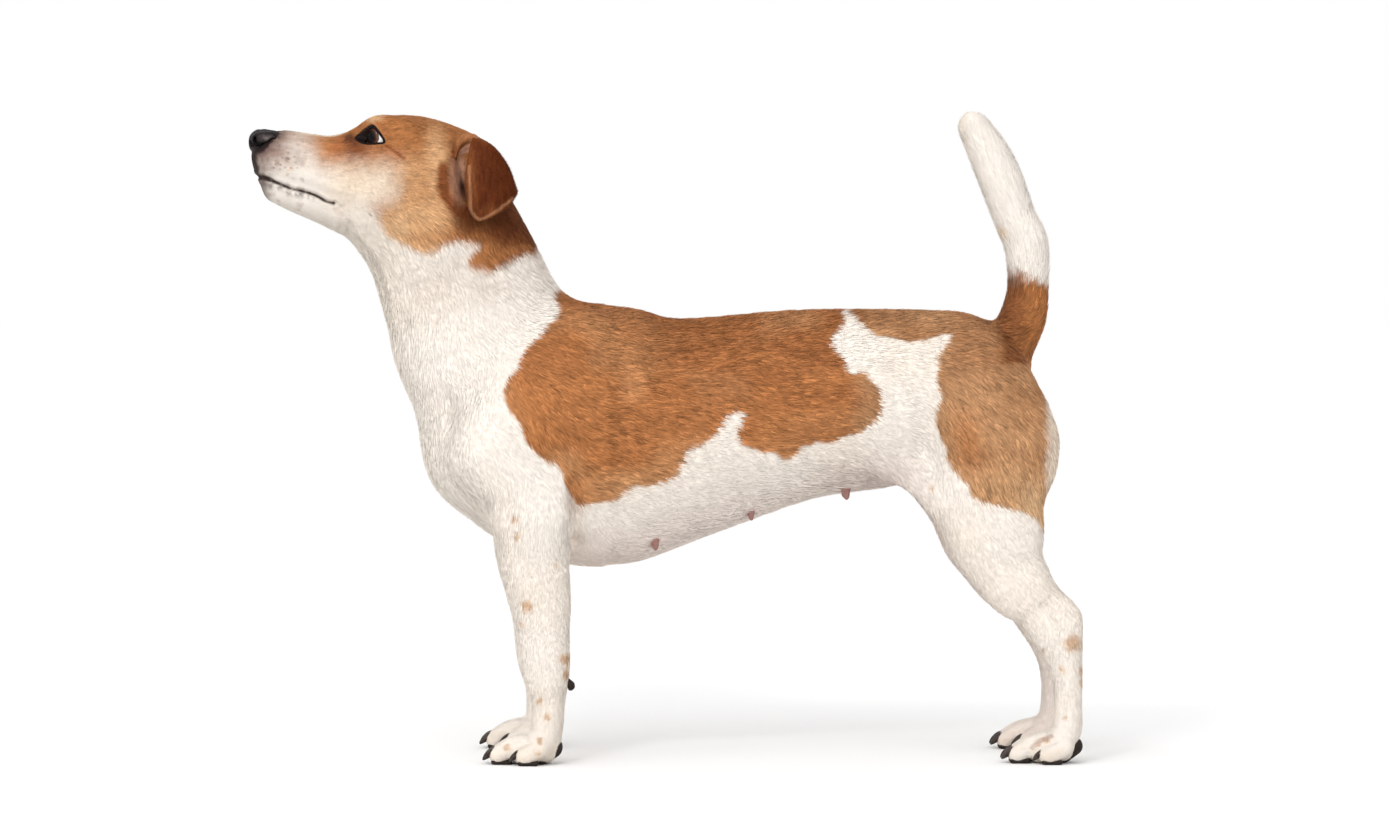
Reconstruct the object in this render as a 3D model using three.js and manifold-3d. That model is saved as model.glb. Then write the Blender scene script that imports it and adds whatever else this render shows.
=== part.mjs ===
// A short-coated terrier bitch standing square with her head up and her tail raised, life size.
// Millimetres, +Z up, the floor at Z 0. She faces -X, and her left side is -Y.
//
// The flesh is one smooth surface. Each muscle mass or limb is a chain of balls, and the surface is the
// smooth union of all chains. Each node is a shell: rays from the node's own middle line meet that
// surface, ring by ring. Half spaces and prisms then part the shells along thin, flat cuts.
import * as THREE from 'three';
import { mergeVertices } from 'three/addons/utils/BufferGeometryUtils.js';
import Module from 'manifold-3d';

const wasm = await Module();
wasm.setup();

// ---------------------------------------------------------------- driving dimensions
const GAP = 0.3; // between neighbours
const HEAD_TURN = THREE.MathUtils.degToRad(8); // towards her left
const HEAD_PIVOT_X = -130; // the head turns about an upright line here
const FORE_Y = 47; // middle of a foreleg, from the middle plane
const HIND_Y = 42; // middle of a hind leg
const RIGHT_FORE_STEP = -6; // the right foreleg stands this much further forward
const EYE = { x: -173, y: 17, z: 370, radius: 10 };
const EAR_THICKNESS = 3;
const EAR_RIM_SHARE = 0.45; // how thick the ear's rim is, as a share of its middle
const SUBDIVISIONS = 4; // steps between two balls of a chain
const HEAD_BLEND = 16; // how softly the head runs into the neck
const FAR = 1000; // further than any point is from the body

// ---------------------------------------------------------------- chains of balls
// A ball is [x, y, z, radius, width as a share of depth].
const mix = (a, b, t) => a + (b - a) * t;

function catmullRom(a, b, c, d, t) {
  return 0.5 * (2 * b + (c - a) * t + (2 * a - 5 * b + 4 * c - d) * t * t
    + (3 * b - a - 3 * c + d) * t * t * t);
}

// The chain drawn smoothly, as balls that lie close together.
function chain(balls) {
  const full = balls.map(([x, y, z, r, wide = 1]) => [x, y, z, r, wide]);
  const drawn = [];
  full.slice(0, -1).forEach((ball, i) => {
    const before = full[Math.max(i - 1, 0)];
    const next = full[i + 1];
    const after = full[Math.min(i + 2, full.length - 1)];
    for (let s = 0; s < SUBDIVISIONS; s++) {
      drawn.push(ball.map((value, k) => catmullRom(before[k], value, next[k], after[k], s / SUBDIVISIONS)));
    }
  });
  drawn.push(full.at(-1));
  return drawn;
}

// Rough distance from a point to the skin over a chain, negative inside.
function chainDistance(balls, x, y, z) {
  let nearest = Infinity;
  if (balls.length === 1) {
    const [bx, by, bz, r, wide] = balls[0];
    return Math.hypot(x - bx, (y - by) / wide, z - bz) - r;
  }
  for (let i = 0; i < balls.length - 1; i++) {
    const a = balls[i];
    const b = balls[i + 1];
    const dx = b[0] - a[0];
    const dy = b[1] - a[1];
    const dz = b[2] - a[2];
    const along = (x - a[0]) * dx + (y - a[1]) * dy + (z - a[2]) * dz;
    const t = Math.min(1, Math.max(0, along / (dx * dx + dy * dy + dz * dz)));
    const d = Math.hypot(
      x - mix(a[0], b[0], t),
      (y - mix(a[1], b[1], t)) / mix(a[4], b[4], t),
      z - mix(a[2], b[2], t),
    ) - mix(a[3], b[3], t);
    if (d < nearest) nearest = d;
  }
  return nearest;
}

// The skin over one chain as a field, and a chain's middle line through its own balls.
const over = (balls) => (x, y, z) => chainDistance(balls, x, y, z);
const middleLine = (balls) => balls.filter((_, i) => i % SUBDIVISIONS === 0).map(([x, y, z]) => [x, y, z]);

function smoothMin(a, b, blend) {
  const h = Math.max(blend - Math.abs(a - b), 0) / blend;
  return Math.min(a, b) - h * h * blend / 4;
}

// ---------------------------------------------------------------- the body's chains
const TRUNK = [
  chain([
    [-37.8, 0, 192.6, 79.5, 0.76], [-17.5, 0, 193.1, 72.7, 0.8], [15.9, 0, 198, 65.6, 0.85],
    [76.2, 0, 210.5, 58.1, 0.82], [131.7, 0, 215.2, 54, 0.82], [168.5, 0, 221.4, 46.7, 0.88],
  ]),
  chain([[-106.3, 0, 181.8, 40.1, 0.98], [-76.5, 0, 187.5, 61, 0.82]]), // brisket
  chain([[179.7, 0, 206.1, 36.5, 0.75], [203.5, 0, 177.8, 25.5, 0.7], [203.8, 0, 159.9, 17.8, 0.8]]), // buttocks' middle
];
const NECK = [
  chain([
    [-139.2, 0, 328, 41.4, 0.88], [-129.9, 0, 300.9, 48.7, 0.8], [-117.6, 0, 268.9, 52.3, 0.78],
    [-109.5, 0, 243.4, 54, 0.82], [-92.1, 0, 210.6, 47.9, 0.9],
  ]),
];
const SHOULDER = [ // left side; the right is its mirror image
  chain([[-52, -28, 246, 18, 0.8], [-80, -42, 215, 24, 0.7], [-104, -44, 184, 21, 0.8]]),
  chain([[-104, -44, 184, 21, 0.9], [-84, -49, 160, 23, 0.75], [-77, -FORE_Y, 145, 20, 0.85]]),
];
const FORELEG = [
  chain([
    [-79.8, -FORE_Y, 144.3, 22.6, 0.8], [-78.7, -FORE_Y, 120.1, 21.4, 0.8], [-74.9, -FORE_Y, 96.6, 18.7, 0.8],
    [-73.2, -FORE_Y, 79.5, 16.2, 0.84], [-71.8, -FORE_Y, 55.3, 14.8, 0.95], [-70.5, -FORE_Y, 39.4, 11, 1.05],
    [-70.9, -FORE_Y, 22.5, 9.8, 1.2], [-72.5, -FORE_Y, 11.7, 10, 1.35],
  ]),
];
const HAUNCH = [
  chain([
    [183.9, -24, 219.8, 29.5, 0.8], [195.9, -30, 187.6, 37.8, 0.63], [189.2, -34, 158, 31.4, 0.62],
    [190.5, -36, 133.5, 23.3, 0.66],
  ]),
  chain([[135.3, -27, 174.7, 6.9, 0.5], [160.6, -33, 154.5, 5.6, 0.6]]), // flank fold
];
const HINDLEG = [
  chain([
    [195.7, -36, 135.8, 28.3, 0.66], [199, -38, 119.7, 23.5, 0.68], [207.3, -40, 105.2, 21, 0.74],
    [216.4, -41, 94.8, 15.5, 0.78], [226.1, -HIND_Y, 80.8, 14.6, 0.8], [233.6, -HIND_Y, 63.7, 11.6, 0.85],
    [236.3, -HIND_Y, 49.6, 9.6, 0.95], [236.8, -HIND_Y, 33.9, 8.7, 1.05], [236, -HIND_Y, 19.6, 9.3, 1.3],
    [230.9, -HIND_Y, 11.5, 9.2, 1.35],
  ]),
  chain([[227.2, -HIND_Y, 94.8, 6.4, 0.8], [239, -HIND_Y, 85.7, 6, 1], [236.6, -HIND_Y, 70.7, 4.7, 1]]), // heel bone
];
const TAIL = [
  chain([
    [200.5, 0, 234.6, 13.9], [212.4, 0, 260.5, 15.1], [216.3, 0, 281, 13.4], [215.2, 0, 307.2, 14.6],
    [208.1, 0, 323.2, 14], [200.8, 0, 343.4, 14.5], [192.9, 0, 361.2, 13.6], [183.7, 0, 376.9, 10.8],
  ]),
];
// The head's chains are in its own frame, before it turns.
const HEAD = [
  chain([[-133.9, 0, 347.4, 30.2, 1.04], [-152.2, 0, 353.3, 30.9, 1.06], [-166.3, 0, 361.2, 21.2, 1.05]]), // braincase
  chain([
    [-167.5, 0, 358.7, 20.5, 1.15], [-186.1, 0, 357.5, 17.5, 1.05], [-201, 0, 354.4, 17.4, 0.98],
    [-215.6, 0, 356.7, 16.3, 0.98], [-229, 0, 359.7, 15.1, 1.05], [-237.2, 0, 362, 11.5, 1.12],
  ]), // muzzle
  chain([[-236, 0, 350.4, 9.4, 1.35], [-221.7, 0, 348.1, 9, 1.8], [-203.9, 0, 342.7, 9, 2]]), // upper lips
  chain([[-166.2, 0, 321.4, 25.5, 0.95], [-141, 0, 322.5, 36.3, 0.88]]), // throat
];
const CHEEK = [
  chain([[-190, -13, 351, 8], [-176, -19.5, 352, 9.5], [-160, -26, 351, 10.5], [-142, -28, 352, 9.5]]),
  chain([[-190, -12, 337, 10], [-172, -17, 335, 13], [-154, -21, 336, 17], [-144, -20, 324, 17]]),
];
const BROW = [chain([[-184.7, -11, 369.5, 5.5], [-174.8, -16.5, 375.2, 7.8], [-160.5, -20, 372, 9.1]])];
const JAW = [
  chain([
    [-233.1, 0, 340, 9.1, 1.15], [-222.4, 0, 335.6, 10, 1.35], [-205.8, 0, 329.3, 10.8, 1.45],
    [-186.7, 0, 323.7, 14.1, 1.45], [-168.7, 0, 325.6, 20.5, 1.25],
  ]),
];
const NOSE = chain([[-242.5, 0, 367.3, 8.4, 1.45], [-235.8, 0, 369.3, 5.4, 1.6]]);
const EAR_CURL = chain([
  [-119, -34, 370, 2.4], [-125, -33, 369.5, 3.2], [-129.5, -32, 364, 3.4], [-130, -31.5, 356, 3],
  [-127, -31, 350, 2.2],
]);

// Each foot has four toes; across is counted from the foot's own middle, in toe widths, outwards.
const TOES = [
  { across: -1.5, forward: -7 }, { across: -0.5, forward: 5 }, { across: 0.5, forward: 5 },
  { across: 1.5, forward: -7 },
];
const TOE_WIDTH = 8.2;
const FEET = {
  fore: { x: -78, y: -FORE_Y, reach: 16.5, heel: 8 },
  hind: { x: 228, y: -HIND_Y, reach: 16.5, heel: 10.5 },
};

function toe(foot, { across, forward }) {
  const y = foot.y - across * TOE_WIDTH;
  const tip = foot.x - foot.reach - forward;
  return chain([
    [foot.x + 2, foot.y - across * TOE_WIDTH * 0.6, 13.8, 6.3],
    [tip + 9, y, 10.6, 6.2],
    [tip, y, 5.4, 5.7],
  ]);
}

const feetChains = (foot) => [
  ...TOES.map((place) => toe(foot, place)),
  chain([[foot.x + 4, foot.y, 9, 9.5, 1.35], [foot.x - 8, foot.y, 7, 7.5, 1.9]]), // sole
];
const heelPad = (foot) => chain([
  [foot.x + foot.heel, foot.y, 10, 7.3, 1.35], [foot.x + foot.heel - 5, foot.y, 4.5, 6, 1.7],
]);

const mirrored = (balls) => balls.map(([x, y, z, r, wide]) => [x, -y, z, r, wide]);
const bothSides = (chains) => [...chains, ...chains.map(mirrored)];
const stepped = (balls, step) => balls.map(([x, ...rest]) => [x + step, ...rest]);
const foreSides = (chains) => [
  ...chains, ...chains.map((balls) => stepped(mirrored(balls), RIGHT_FORE_STEP)),
];

// Groups are joined in this order, each with its own blend.
const BODY_GROUPS = [
  { blend: 26, chains: TRUNK },
  { blend: 26, chains: NECK },
  { blend: 20, chains: bothSides(SHOULDER) },
  { blend: 20, chains: bothSides(HAUNCH) },
  { blend: 9, chains: TAIL },
  { blend: 12, chains: foreSides(FORELEG) },
  { blend: 12, chains: bothSides(HINDLEG) },
  { blend: 4, chains: [...foreSides(feetChains(FEET.fore)), ...bothSides(feetChains(FEET.hind))] },
];
const HEAD_GROUPS = [
  { blend: 11, chains: HEAD },
  { blend: 12, chains: bothSides(CHEEK) },
  { blend: 9, chains: bothSides(BROW) },
  { blend: 6, chains: JAW },
];

function union(start, groups, x, y, z) {
  let d = start;
  for (const { blend, chains } of groups) {
    for (const balls of chains) d = smoothMin(d, chainDistance(balls, x, y, z), blend);
  }
  return d;
}

// A point in the head's own frame, before the head turns.
function toHeadFrame(x, y, z) {
  const c = Math.cos(HEAD_TURN);
  const s = Math.sin(HEAD_TURN);
  const dx = x - HEAD_PIVOT_X;
  return [HEAD_PIVOT_X + dx * c + y * s, -dx * s + y * c, z];
}

function headFlesh(x, y, z) {
  const [hx, hy, hz] = toHeadFrame(x, y, z);
  return union(FAR, HEAD_GROUPS, hx, hy, hz);
}

function flesh(x, y, z) {
  return smoothMin(union(FAR, BODY_GROUPS, x, y, z), headFlesh(x, y, z), HEAD_BLEND);
}

// ---------------------------------------------------------------- solids
function solidOf(geometry) {
  const bare = geometry.index ? geometry.toNonIndexed() : geometry.clone();
  bare.deleteAttribute('normal');
  bare.deleteAttribute('uv');
  const merged = mergeVertices(bare, 1e-4);
  return new wasm.Manifold(new wasm.Mesh({
    numProp: 3,
    vertProperties: merged.attributes.position.array,
    triVerts: new Uint32Array(merged.index.array),
  }));
}

function geometryOf(solid) {
  const mesh = solid.getMesh();
  const positions = new Float32Array(mesh.numVert * 3);
  for (let i = 0; i < mesh.numVert; i++) {
    positions.set(mesh.vertProperties.subarray(i * mesh.numProp, i * mesh.numProp + 3), i * 3);
  }
  const geometry = new THREE.BufferGeometry();
  geometry.setAttribute('position', new THREE.BufferAttribute(positions, 3));
  geometry.setIndex(new THREE.BufferAttribute(mesh.triVerts, 1));
  geometry.computeVertexNormals();
  return geometry;
}

// How far the surface is from a point inside it, along a direction.
function rayLength(field, from, direction, level, reach) {
  const value = (s) => field(
    from.x + direction.x * s, from.y + direction.y * s, from.z + direction.z * s,
  ) - level;
  let inside = 0;
  let s = 0;
  while (s < reach) {
    const d = value(s);
    if (d > 0) break;
    inside = s;
    s += Math.max(0.4, -d * 0.5);
  }
  let outside = Math.min(s, reach);
  if (value(outside) < 0) return outside;
  for (let i = 0; i < 16; i++) {
    const middle = (inside + outside) / 2;
    if (value(middle) > 0) outside = middle;
    else inside = middle;
  }
  return outside;
}

// A closed shell round a middle line. Rings stand square to the line, and the rays of a few more
// rings fan out over each end.
function shell(line, { rings, segments, field = flesh, level = 0, reach = 120, capRings = 3 }) {
  const curve = new THREE.CatmullRomCurve3(line.map((point) => new THREE.Vector3(...point)));
  const places = [];
  for (let i = capRings; i > 0; i--) places.push({ u: 0, tilt: -i / (capRings + 1) });
  for (let i = 0; i < rings; i++) places.push({ u: i / (rings - 1), tilt: 0 });
  for (let i = 1; i <= capRings; i++) places.push({ u: 1, tilt: i / (capRings + 1) });

  const positions = [];
  const addPoint = (u, angle, tilt) => {
    const from = curve.getPointAt(u);
    const along = curve.getTangentAt(u);
    const side = new THREE.Vector3(0, 1, 0).cross(along).normalize();
    const other = along.clone().cross(side);
    const radial = side.multiplyScalar(Math.cos(angle)).addScaledVector(other, Math.sin(angle));
    const direction = radial.multiplyScalar(Math.cos(tilt * Math.PI / 2))
      .addScaledVector(along, Math.sin(tilt * Math.PI / 2));
    const length = rayLength(field, from, direction, level, reach);
    positions.push(...from.addScaledVector(direction, length).toArray());
  };
  addPoint(0, 0, -1);
  for (const { u, tilt } of places) {
    for (let k = 0; k < segments; k++) addPoint(u, 2 * Math.PI * k / segments, tilt);
  }
  addPoint(1, 0, 1);

  const index = [];
  const at = (ring, k) => 1 + ring * segments + k % segments;
  const last = places.length - 1;
  for (let k = 0; k < segments; k++) {
    index.push(0, at(0, k + 1), at(0, k));
    for (let ring = 0; ring < last; ring++) {
      index.push(at(ring, k), at(ring, k + 1), at(ring + 1, k));
      index.push(at(ring, k + 1), at(ring + 1, k + 1), at(ring + 1, k));
    }
    index.push(at(last, k), at(last, k + 1), 1 + places.length * segments);
  }
  const geometry = new THREE.BufferGeometry();
  geometry.setAttribute('position', new THREE.Float32BufferAttribute(positions, 3));
  geometry.setIndex(index);
  return solidOf(geometry);
}

// ---------------------------------------------------------------- cutters
const BIG = 1200;

// Everything to the left of the line from a to b, as seen from her left side; a point is [x, z].
function leftOf([ax, az], [bx, bz], inset = GAP / 2) {
  const along = new THREE.Vector3(bx - ax, 0, bz - az).normalize();
  const across = new THREE.Vector3(0, 1, 0);
  const left = along.clone().cross(across);
  const box = new THREE.BoxGeometry(BIG, BIG, BIG);
  const middle = new THREE.Vector3(ax, 0, az).addScaledVector(left, BIG / 2 + inset);
  box.applyMatrix4(new THREE.Matrix4().makeBasis(along, across, left).setPosition(middle));
  return solidOf(box);
}

// A prism over an outline of [x, z] points, from one Y to another.
function prism(outline, fromY, toY) {
  const shape = new THREE.Shape(outline.map(([x, z]) => new THREE.Vector2(x, z)));
  const geometry = new THREE.ExtrudeGeometry(shape, { depth: toY - fromY, bevelEnabled: false });
  geometry.rotateX(Math.PI / 2); // the outline's plane now faces -Y, and the depth runs from 0 to -Y
  geometry.translate(0, toY, 0);
  return solidOf(geometry);
}

const reversed = (a, b) => leftOf(b, a);

// Cut lines, each as two [x, z] points seen from her left side.
const CUT = {
  headNeck: [[-186, 296], [-82, 338]],
  neckTrunk: [[-160, 212], [-48, 280]],
  trunkTail: [[188, 261], [224, 233]],
  elbow: [[-110, 136], [-40, 142]],
  wrist: [[-100, 45], [-40, 42]],
  stifle: [[150, 118], [250, 128]],
  hock: [[205, 70], [262, 88]],
  ankle: [[205, 27], [260, 27]],
};
// Outlines of the limbs' share of the body, from the shoulder blade and the hip down.
const SHOULDER_OUTLINE = [
  [-122, 200], [-112, 228], [-78, 262], [-48, 250], [-48, 190], [-54, 152], [-54, 106], [-40, 100],
  [-40, -5], [-106, -5], [-106, 124], [-118, 160],
];
const HAUNCH_OUTLINE = [
  [148, 150], [150, 190], [160, 225], [176, 246], [192, 248], [220, 230], [270, 190], [270, 140],
  [148, 140],
];
const LEG_UNDER_OUTLINE = [[144, 158], [190, 160], [270, 150], [270, -5], [128, -5], [128, 120]];
const FORE_CUT_Y = 27;
const HAUNCH_CUT_Y = 20;

// The outline drawn in towards its middle, so that a gap is left all round.
const CORNER_INSET = 1.5 * GAP;
function insetOutline(outline) {
  const cx = outline.reduce((sum, p) => sum + p[0], 0) / outline.length;
  const cz = outline.reduce((sum, p) => sum + p[1], 0) / outline.length;
  return outline.map(([x, z]) => {
    const t = CORNER_INSET / Math.hypot(x - cx, z - cz);
    return [mix(x, cx, t), mix(z, cz, t)];
  });
}

const mirrorY = (solid) => solid.mirror([0, 1, 0]);
// The two legs' shares; side is -1 for her left and 1 for her right.
function foreCutter(side, inset) {
  const outline = inset ? insetOutline(SHOULDER_OUTLINE) : SHOULDER_OUTLINE;
  const made = prism(outline, -BIG / 2, -FORE_CUT_Y - (inset ? GAP : 0));
  return side < 0 ? made : mirrorY(made).translate([RIGHT_FORE_STEP, 0, 0]);
}
function hindCutter(side, inset) {
  const outline = inset ? insetOutline(HAUNCH_OUTLINE) : HAUNCH_OUTLINE;
  const under = inset ? insetOutline(LEG_UNDER_OUTLINE) : LEG_UNDER_OUTLINE;
  const made = prism(outline, -BIG / 2, -HAUNCH_CUT_Y - (inset ? GAP : 0))
    .add(prism(under, -BIG / 2, inset ? -GAP : 0.01));
  return side < 0 ? made : mirrorY(made);
}

// ---------------------------------------------------------------- shells of each region
const turned = (x, y, z) => {
  const c = Math.cos(HEAD_TURN);
  const s = Math.sin(HEAD_TURN);
  const dx = x - HEAD_PIVOT_X;
  return [HEAD_PIVOT_X + dx * c - y * s, dx * s + y * c, z];
};
const aboveFloor = leftOf([-300, 0], [300, 0], 0);

const trunkShell = shell(
  [[-105, 0, 205], [-47, 0, 200], [19, 0, 203], [79, 0, 212], [133, 0, 218], [185, 0, 218]],
  { rings: 15, segments: 22, reach: 105, capRings: 2 },
);
const neckShell = shell(
  [[-150, 0, 335], [-130, 0, 301], [-110, 0, 262], [-90, 0, 205]],
  { rings: 7, segments: 18, reach: 95, capRings: 2 },
);
const headLine = [[-234, 0, 356], [-205, 0, 347], [-180, 0, 346], [-152, 0, 340], [-125, 0, 315]];
const headShell = (level) => shell(
  headLine.map((point) => turned(...point)),
  { rings: 16, segments: 20, reach: 80, capRings: 3, level },
);
const tailShell = shell(
  middleLine(TAIL[0]),
  { rings: 12, segments: 10, reach: 40, capRings: 2 },
);
const foreShell = (side) => shell(
  [[-72, -44, 235], [-88, -44, 195], [-80, -FORE_Y, 160], [-75, -FORE_Y, 130], [-74.5, -FORE_Y, 96],
    [-73, -FORE_Y, 67], [-71.5, -FORE_Y, 46], [-72.5, -FORE_Y, 34]]
    .map(([x, y, z]) => (side < 0 ? [x, y, z] : [x + RIGHT_FORE_STEP, -y, z])),
  { rings: 15, segments: 11, reach: 46, capRings: 2 },
);
const hindShell = (side) => shell(
  [[184, -30, 225], [185, -32, 184], [187, -35, 147], [196, -38, 120], [205, -39, 105],
    [218, -HIND_Y, 91], [231, -HIND_Y, 76], [235, -HIND_Y, 54], [235.3, -HIND_Y, 30], [233, -HIND_Y, 20]]
    .map(([x, y, z]) => [x, -side * y, z]),
  { rings: 17, segments: 11, reach: 56, capRings: 2 },
);
const footShell = (foot, level = 0) => shell(
  [[foot.x + 5, foot.y, 26], [foot.x + 2, foot.y, 12], [foot.x - 9, foot.y, 7]],
  { rings: 5, segments: 14, reach: 40, capRings: 3, level },
);

// ---------------------------------------------------------------- head pieces
function headPiece(solidInHeadFrame) {
  const degrees = THREE.MathUtils.radToDeg(HEAD_TURN);
  return solidInHeadFrame.translate([-HEAD_PIVOT_X, 0, 0]).rotate([0, 0, degrees])
    .translate([HEAD_PIVOT_X, 0, 0]);
}

const eyeball = (radius, side) => {
  const ball = new THREE.SphereGeometry(radius, 10, 8);
  ball.translate(EYE.x, side * EYE.y, EYE.z);
  return headPiece(solidOf(ball));
};

const noseSolid = (level) => headPiece(shell(
  [[-245, 0, 366.5], [-243, 0, 367.5], [-237, 0, 370]],
  { rings: 4, segments: 10, reach: 20, level, capRings: 2, field: over(NOSE) },
));

// The ear: a leather that rises from its root, folds over, and hangs with its tip down.
// Each line runs from the front edge to the rear edge.
const EAR_LINES = [
  [[-128, -26, 361], [-118, -27, 360], [-109, -29, 350], [-109, -29, 337]], // root
  [[-125, -31, 367], [-114, -33.5, 365], [-103, -35, 353], [-100, -34, 337]],
  [[-120, -35, 370.5], [-108, -37.5, 362.5], [-99.5, -39, 350], [-94.5, -37.5, 337.5]], // fold
  [[-121, -39, 364], [-114, -43, 351], [-107, -44.5, 340], [-97, -41, 333.5]],
  [[-122.5, -39.5, 357], [-124, -43, 340], [-118, -44, 321.5], [-99, -41, 330]], // free edge
];

const curveOf = (points) => new THREE.CatmullRomCurve3(points.map((p) => new THREE.Vector3(...p)));

// A closed sheet of even thickness over a grid of points.
function sheet(pointAt, across, down, thickness) {
  const step = 1e-3;
  const faces = [1, -1].map((side) => {
    const points = [];
    for (let i = 0; i <= down; i++) {
      for (let j = 0; j <= across; j++) {
        const [u, v] = [i / down, j / across];
        const du = pointAt(Math.min(u + step, 1), v).sub(pointAt(Math.max(u - step, 0), v));
        const dv = pointAt(u, Math.min(v + step, 1)).sub(pointAt(u, Math.max(v - step, 0)));
        const normal = du.cross(dv).normalize();
        const edge = Math.min(u, 1 - u, v, 1 - v) < 1e-6 ? EAR_RIM_SHARE : 1;
        points.push(pointAt(u, v).addScaledVector(normal, side * edge * thickness / 2));
      }
    }
    return points;
  });
  const positions = faces.flat().flatMap((p) => p.toArray());
  const stride = across + 1;
  const count = stride * (down + 1);
  const index = [];
  const quad = (a, b, c, d) => index.push(a, b, c, a, c, d);
  for (let i = 0; i < down; i++) {
    for (let j = 0; j < across; j++) {
      const a = i * stride + j;
      quad(a, a + stride, a + stride + 1, a + 1);
      quad(count + a, count + a + 1, count + a + stride + 1, count + a + stride);
    }
    const [left, right] = [i * stride, i * stride + across];
    quad(left, count + left, count + left + stride, left + stride);
    quad(right, right + stride, count + right + stride, count + right);
  }
  for (let j = 0; j < across; j++) {
    const bottom = down * stride + j;
    quad(j, j + 1, count + j + 1, count + j);
    quad(bottom, count + bottom, count + bottom + 1, bottom + 1);
  }
  const geometry = new THREE.BufferGeometry();
  geometry.setAttribute('position', new THREE.Float32BufferAttribute(positions, 3));
  geometry.setIndex(index);
  const made = solidOf(geometry);
  if (made.volume() > 0) return made;
  geometry.setIndex(index.reverse());
  return solidOf(geometry);
}

const earSheet = sheet(
  (u, v) => curveOf(EAR_LINES.map((line) => curveOf(line).getPoint(v).toArray())).getPoint(u),
  6, 7, EAR_THICKNESS,
);
const curlShell = shell(
  middleLine(EAR_CURL),
  { rings: 6, segments: 5, reach: 8, capRings: 1, field: over(EAR_CURL) },
);
const leftEar = earSheet.add(curlShell);
const earSolids = { left: headPiece(leftEar), right: headPiece(mirrorY(leftEar)) };

// ---------------------------------------------------------------- claws and pads
function clawSolid(foot, place) {
  const y = foot.y - place.across * TOE_WIDTH;
  const tip = foot.x - foot.reach - place.forward;
  const balls = chain([[tip - 3, y, 8.5, 2.1], [tip - 7.5, y, 6.6, 1.8], [tip - 10, y, 2.2, 0.8]]);
  return shell(middleLine(balls), { rings: 2, segments: 5, reach: 6, capRings: 1, field: over(balls) });
}

function padSolid(foot, level = 0) {
  const balls = heelPad(foot);
  return shell(
    middleLine(balls),
    { rings: 2, segments: 8, reach: 20, capRings: 2, level, field: over(balls) },
  );
}

const WRIST_PAD = chain([[-62, -FORE_Y, 49, 3.6], [-58.5, -FORE_Y, 45, 3.8]]);
const wristPadSolid = (level = 0) => shell(
  middleLine(WRIST_PAD),
  { rings: 2, segments: 6, reach: 12, capRings: 2, level, field: over(WRIST_PAD) },
);

// ---------------------------------------------------------------- teats
// Left row, as [x, y]; each hangs where the belly's surface is.
const TEATS = [[-6, -27], [53, -24], [108, -20]];
function teatSolid([x, y]) {
  const from = new THREE.Vector3(x, y, 200);
  const z = from.z - rayLength(flesh, from, new THREE.Vector3(0, 0, -1), 0, 150);
  const balls = chain([[x, y, z + 3, 3.6], [x, y, z - 2, 3], [x, y, z - 6, 2.2]]);
  return shell(middleLine(balls), { rings: 2, segments: 5, reach: 8, capRings: 1, field: over(balls) });
}

// ---------------------------------------------------------------- nodes
const finish = {
  coat: { color: 0xe9ddd0, roughness: 0.85, metalness: 0 },
  tan: { color: 0xa9683a, roughness: 0.85, metalness: 0 },
  leather: { color: 0x221c1b, roughness: 0.5, metalness: 0 },
  eye: { color: 0x2a1710, roughness: 0.08, metalness: 0 },
  claw: { color: 0x2b2523, roughness: 0.4, metalness: 0 },
};

const dog = new THREE.Group();
dog.name = 'dog';
function addNode(name, solid, look) {
  const mesh = new THREE.Mesh(geometryOf(solid), new THREE.MeshStandardMaterial(finish[look]));
  mesh.name = name;
  dog.add(mesh);
}
// The main body of a solid, without slivers.
const largest = (solid) => solid.decompose().sort((a, b) => b.volume() - a.volume())[0];

let trunk = trunkShell.intersect(reversed(...CUT.neckTrunk)).intersect(reversed(...CUT.trunkTail));
for (const side of [-1, 1]) {
  trunk = trunk.subtract(foreCutter(side, false)).subtract(hindCutter(side, false));
}
for (const teat of TEATS) trunk = trunk.add(teatSolid(teat)).add(mirrorY(teatSolid(teat)));
addNode('trunk', trunk, 'tan');
addNode('neck', neckShell.intersect(leftOf(...CUT.neckTrunk)).intersect(reversed(...CUT.headNeck)), 'coat');
addNode('tail', tailShell.intersect(leftOf(...CUT.trunkTail)), 'coat');

// The mouth line, from the front of the lips to the corner, and then down behind the jaw.
const JAW_OUTLINE = [
  [-262, 351], [-244, 346.5], [-230, 342], [-212, 337.5], [-200, 331.5], [-190, 312], [-190, 280],
  [-262, 280],
];
const HEAD_HALF = 60; // further to the side than the head reaches
const jawCutter = headPiece(prism(JAW_OUTLINE, -HEAD_HALF, HEAD_HALF));
const wholeHead = headShell(0).intersect(leftOf(...CUT.headNeck));
let head = wholeHead.subtract(jawCutter).subtract(noseSolid(GAP));
for (const side of [-1, 1]) head = head.subtract(eyeball(EYE.radius + GAP, side));
addNode('head', head, 'tan');
addNode('jaw', wholeHead.intersect(headPiece(prism(insetOutline(JAW_OUTLINE), GAP - HEAD_HALF, HEAD_HALF - GAP))), 'coat');
addNode('nose', noseSolid(0), 'leather');
addNode('eye_left', eyeball(EYE.radius, -1), 'eye');
addNode('eye_right', eyeball(EYE.radius, 1), 'eye');
const headLump = headShell(GAP).add(neckShell);
addNode('ear_left', earSolids.left.subtract(headLump), 'tan');
addNode('ear_right', earSolids.right.subtract(headLump), 'tan');

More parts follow.
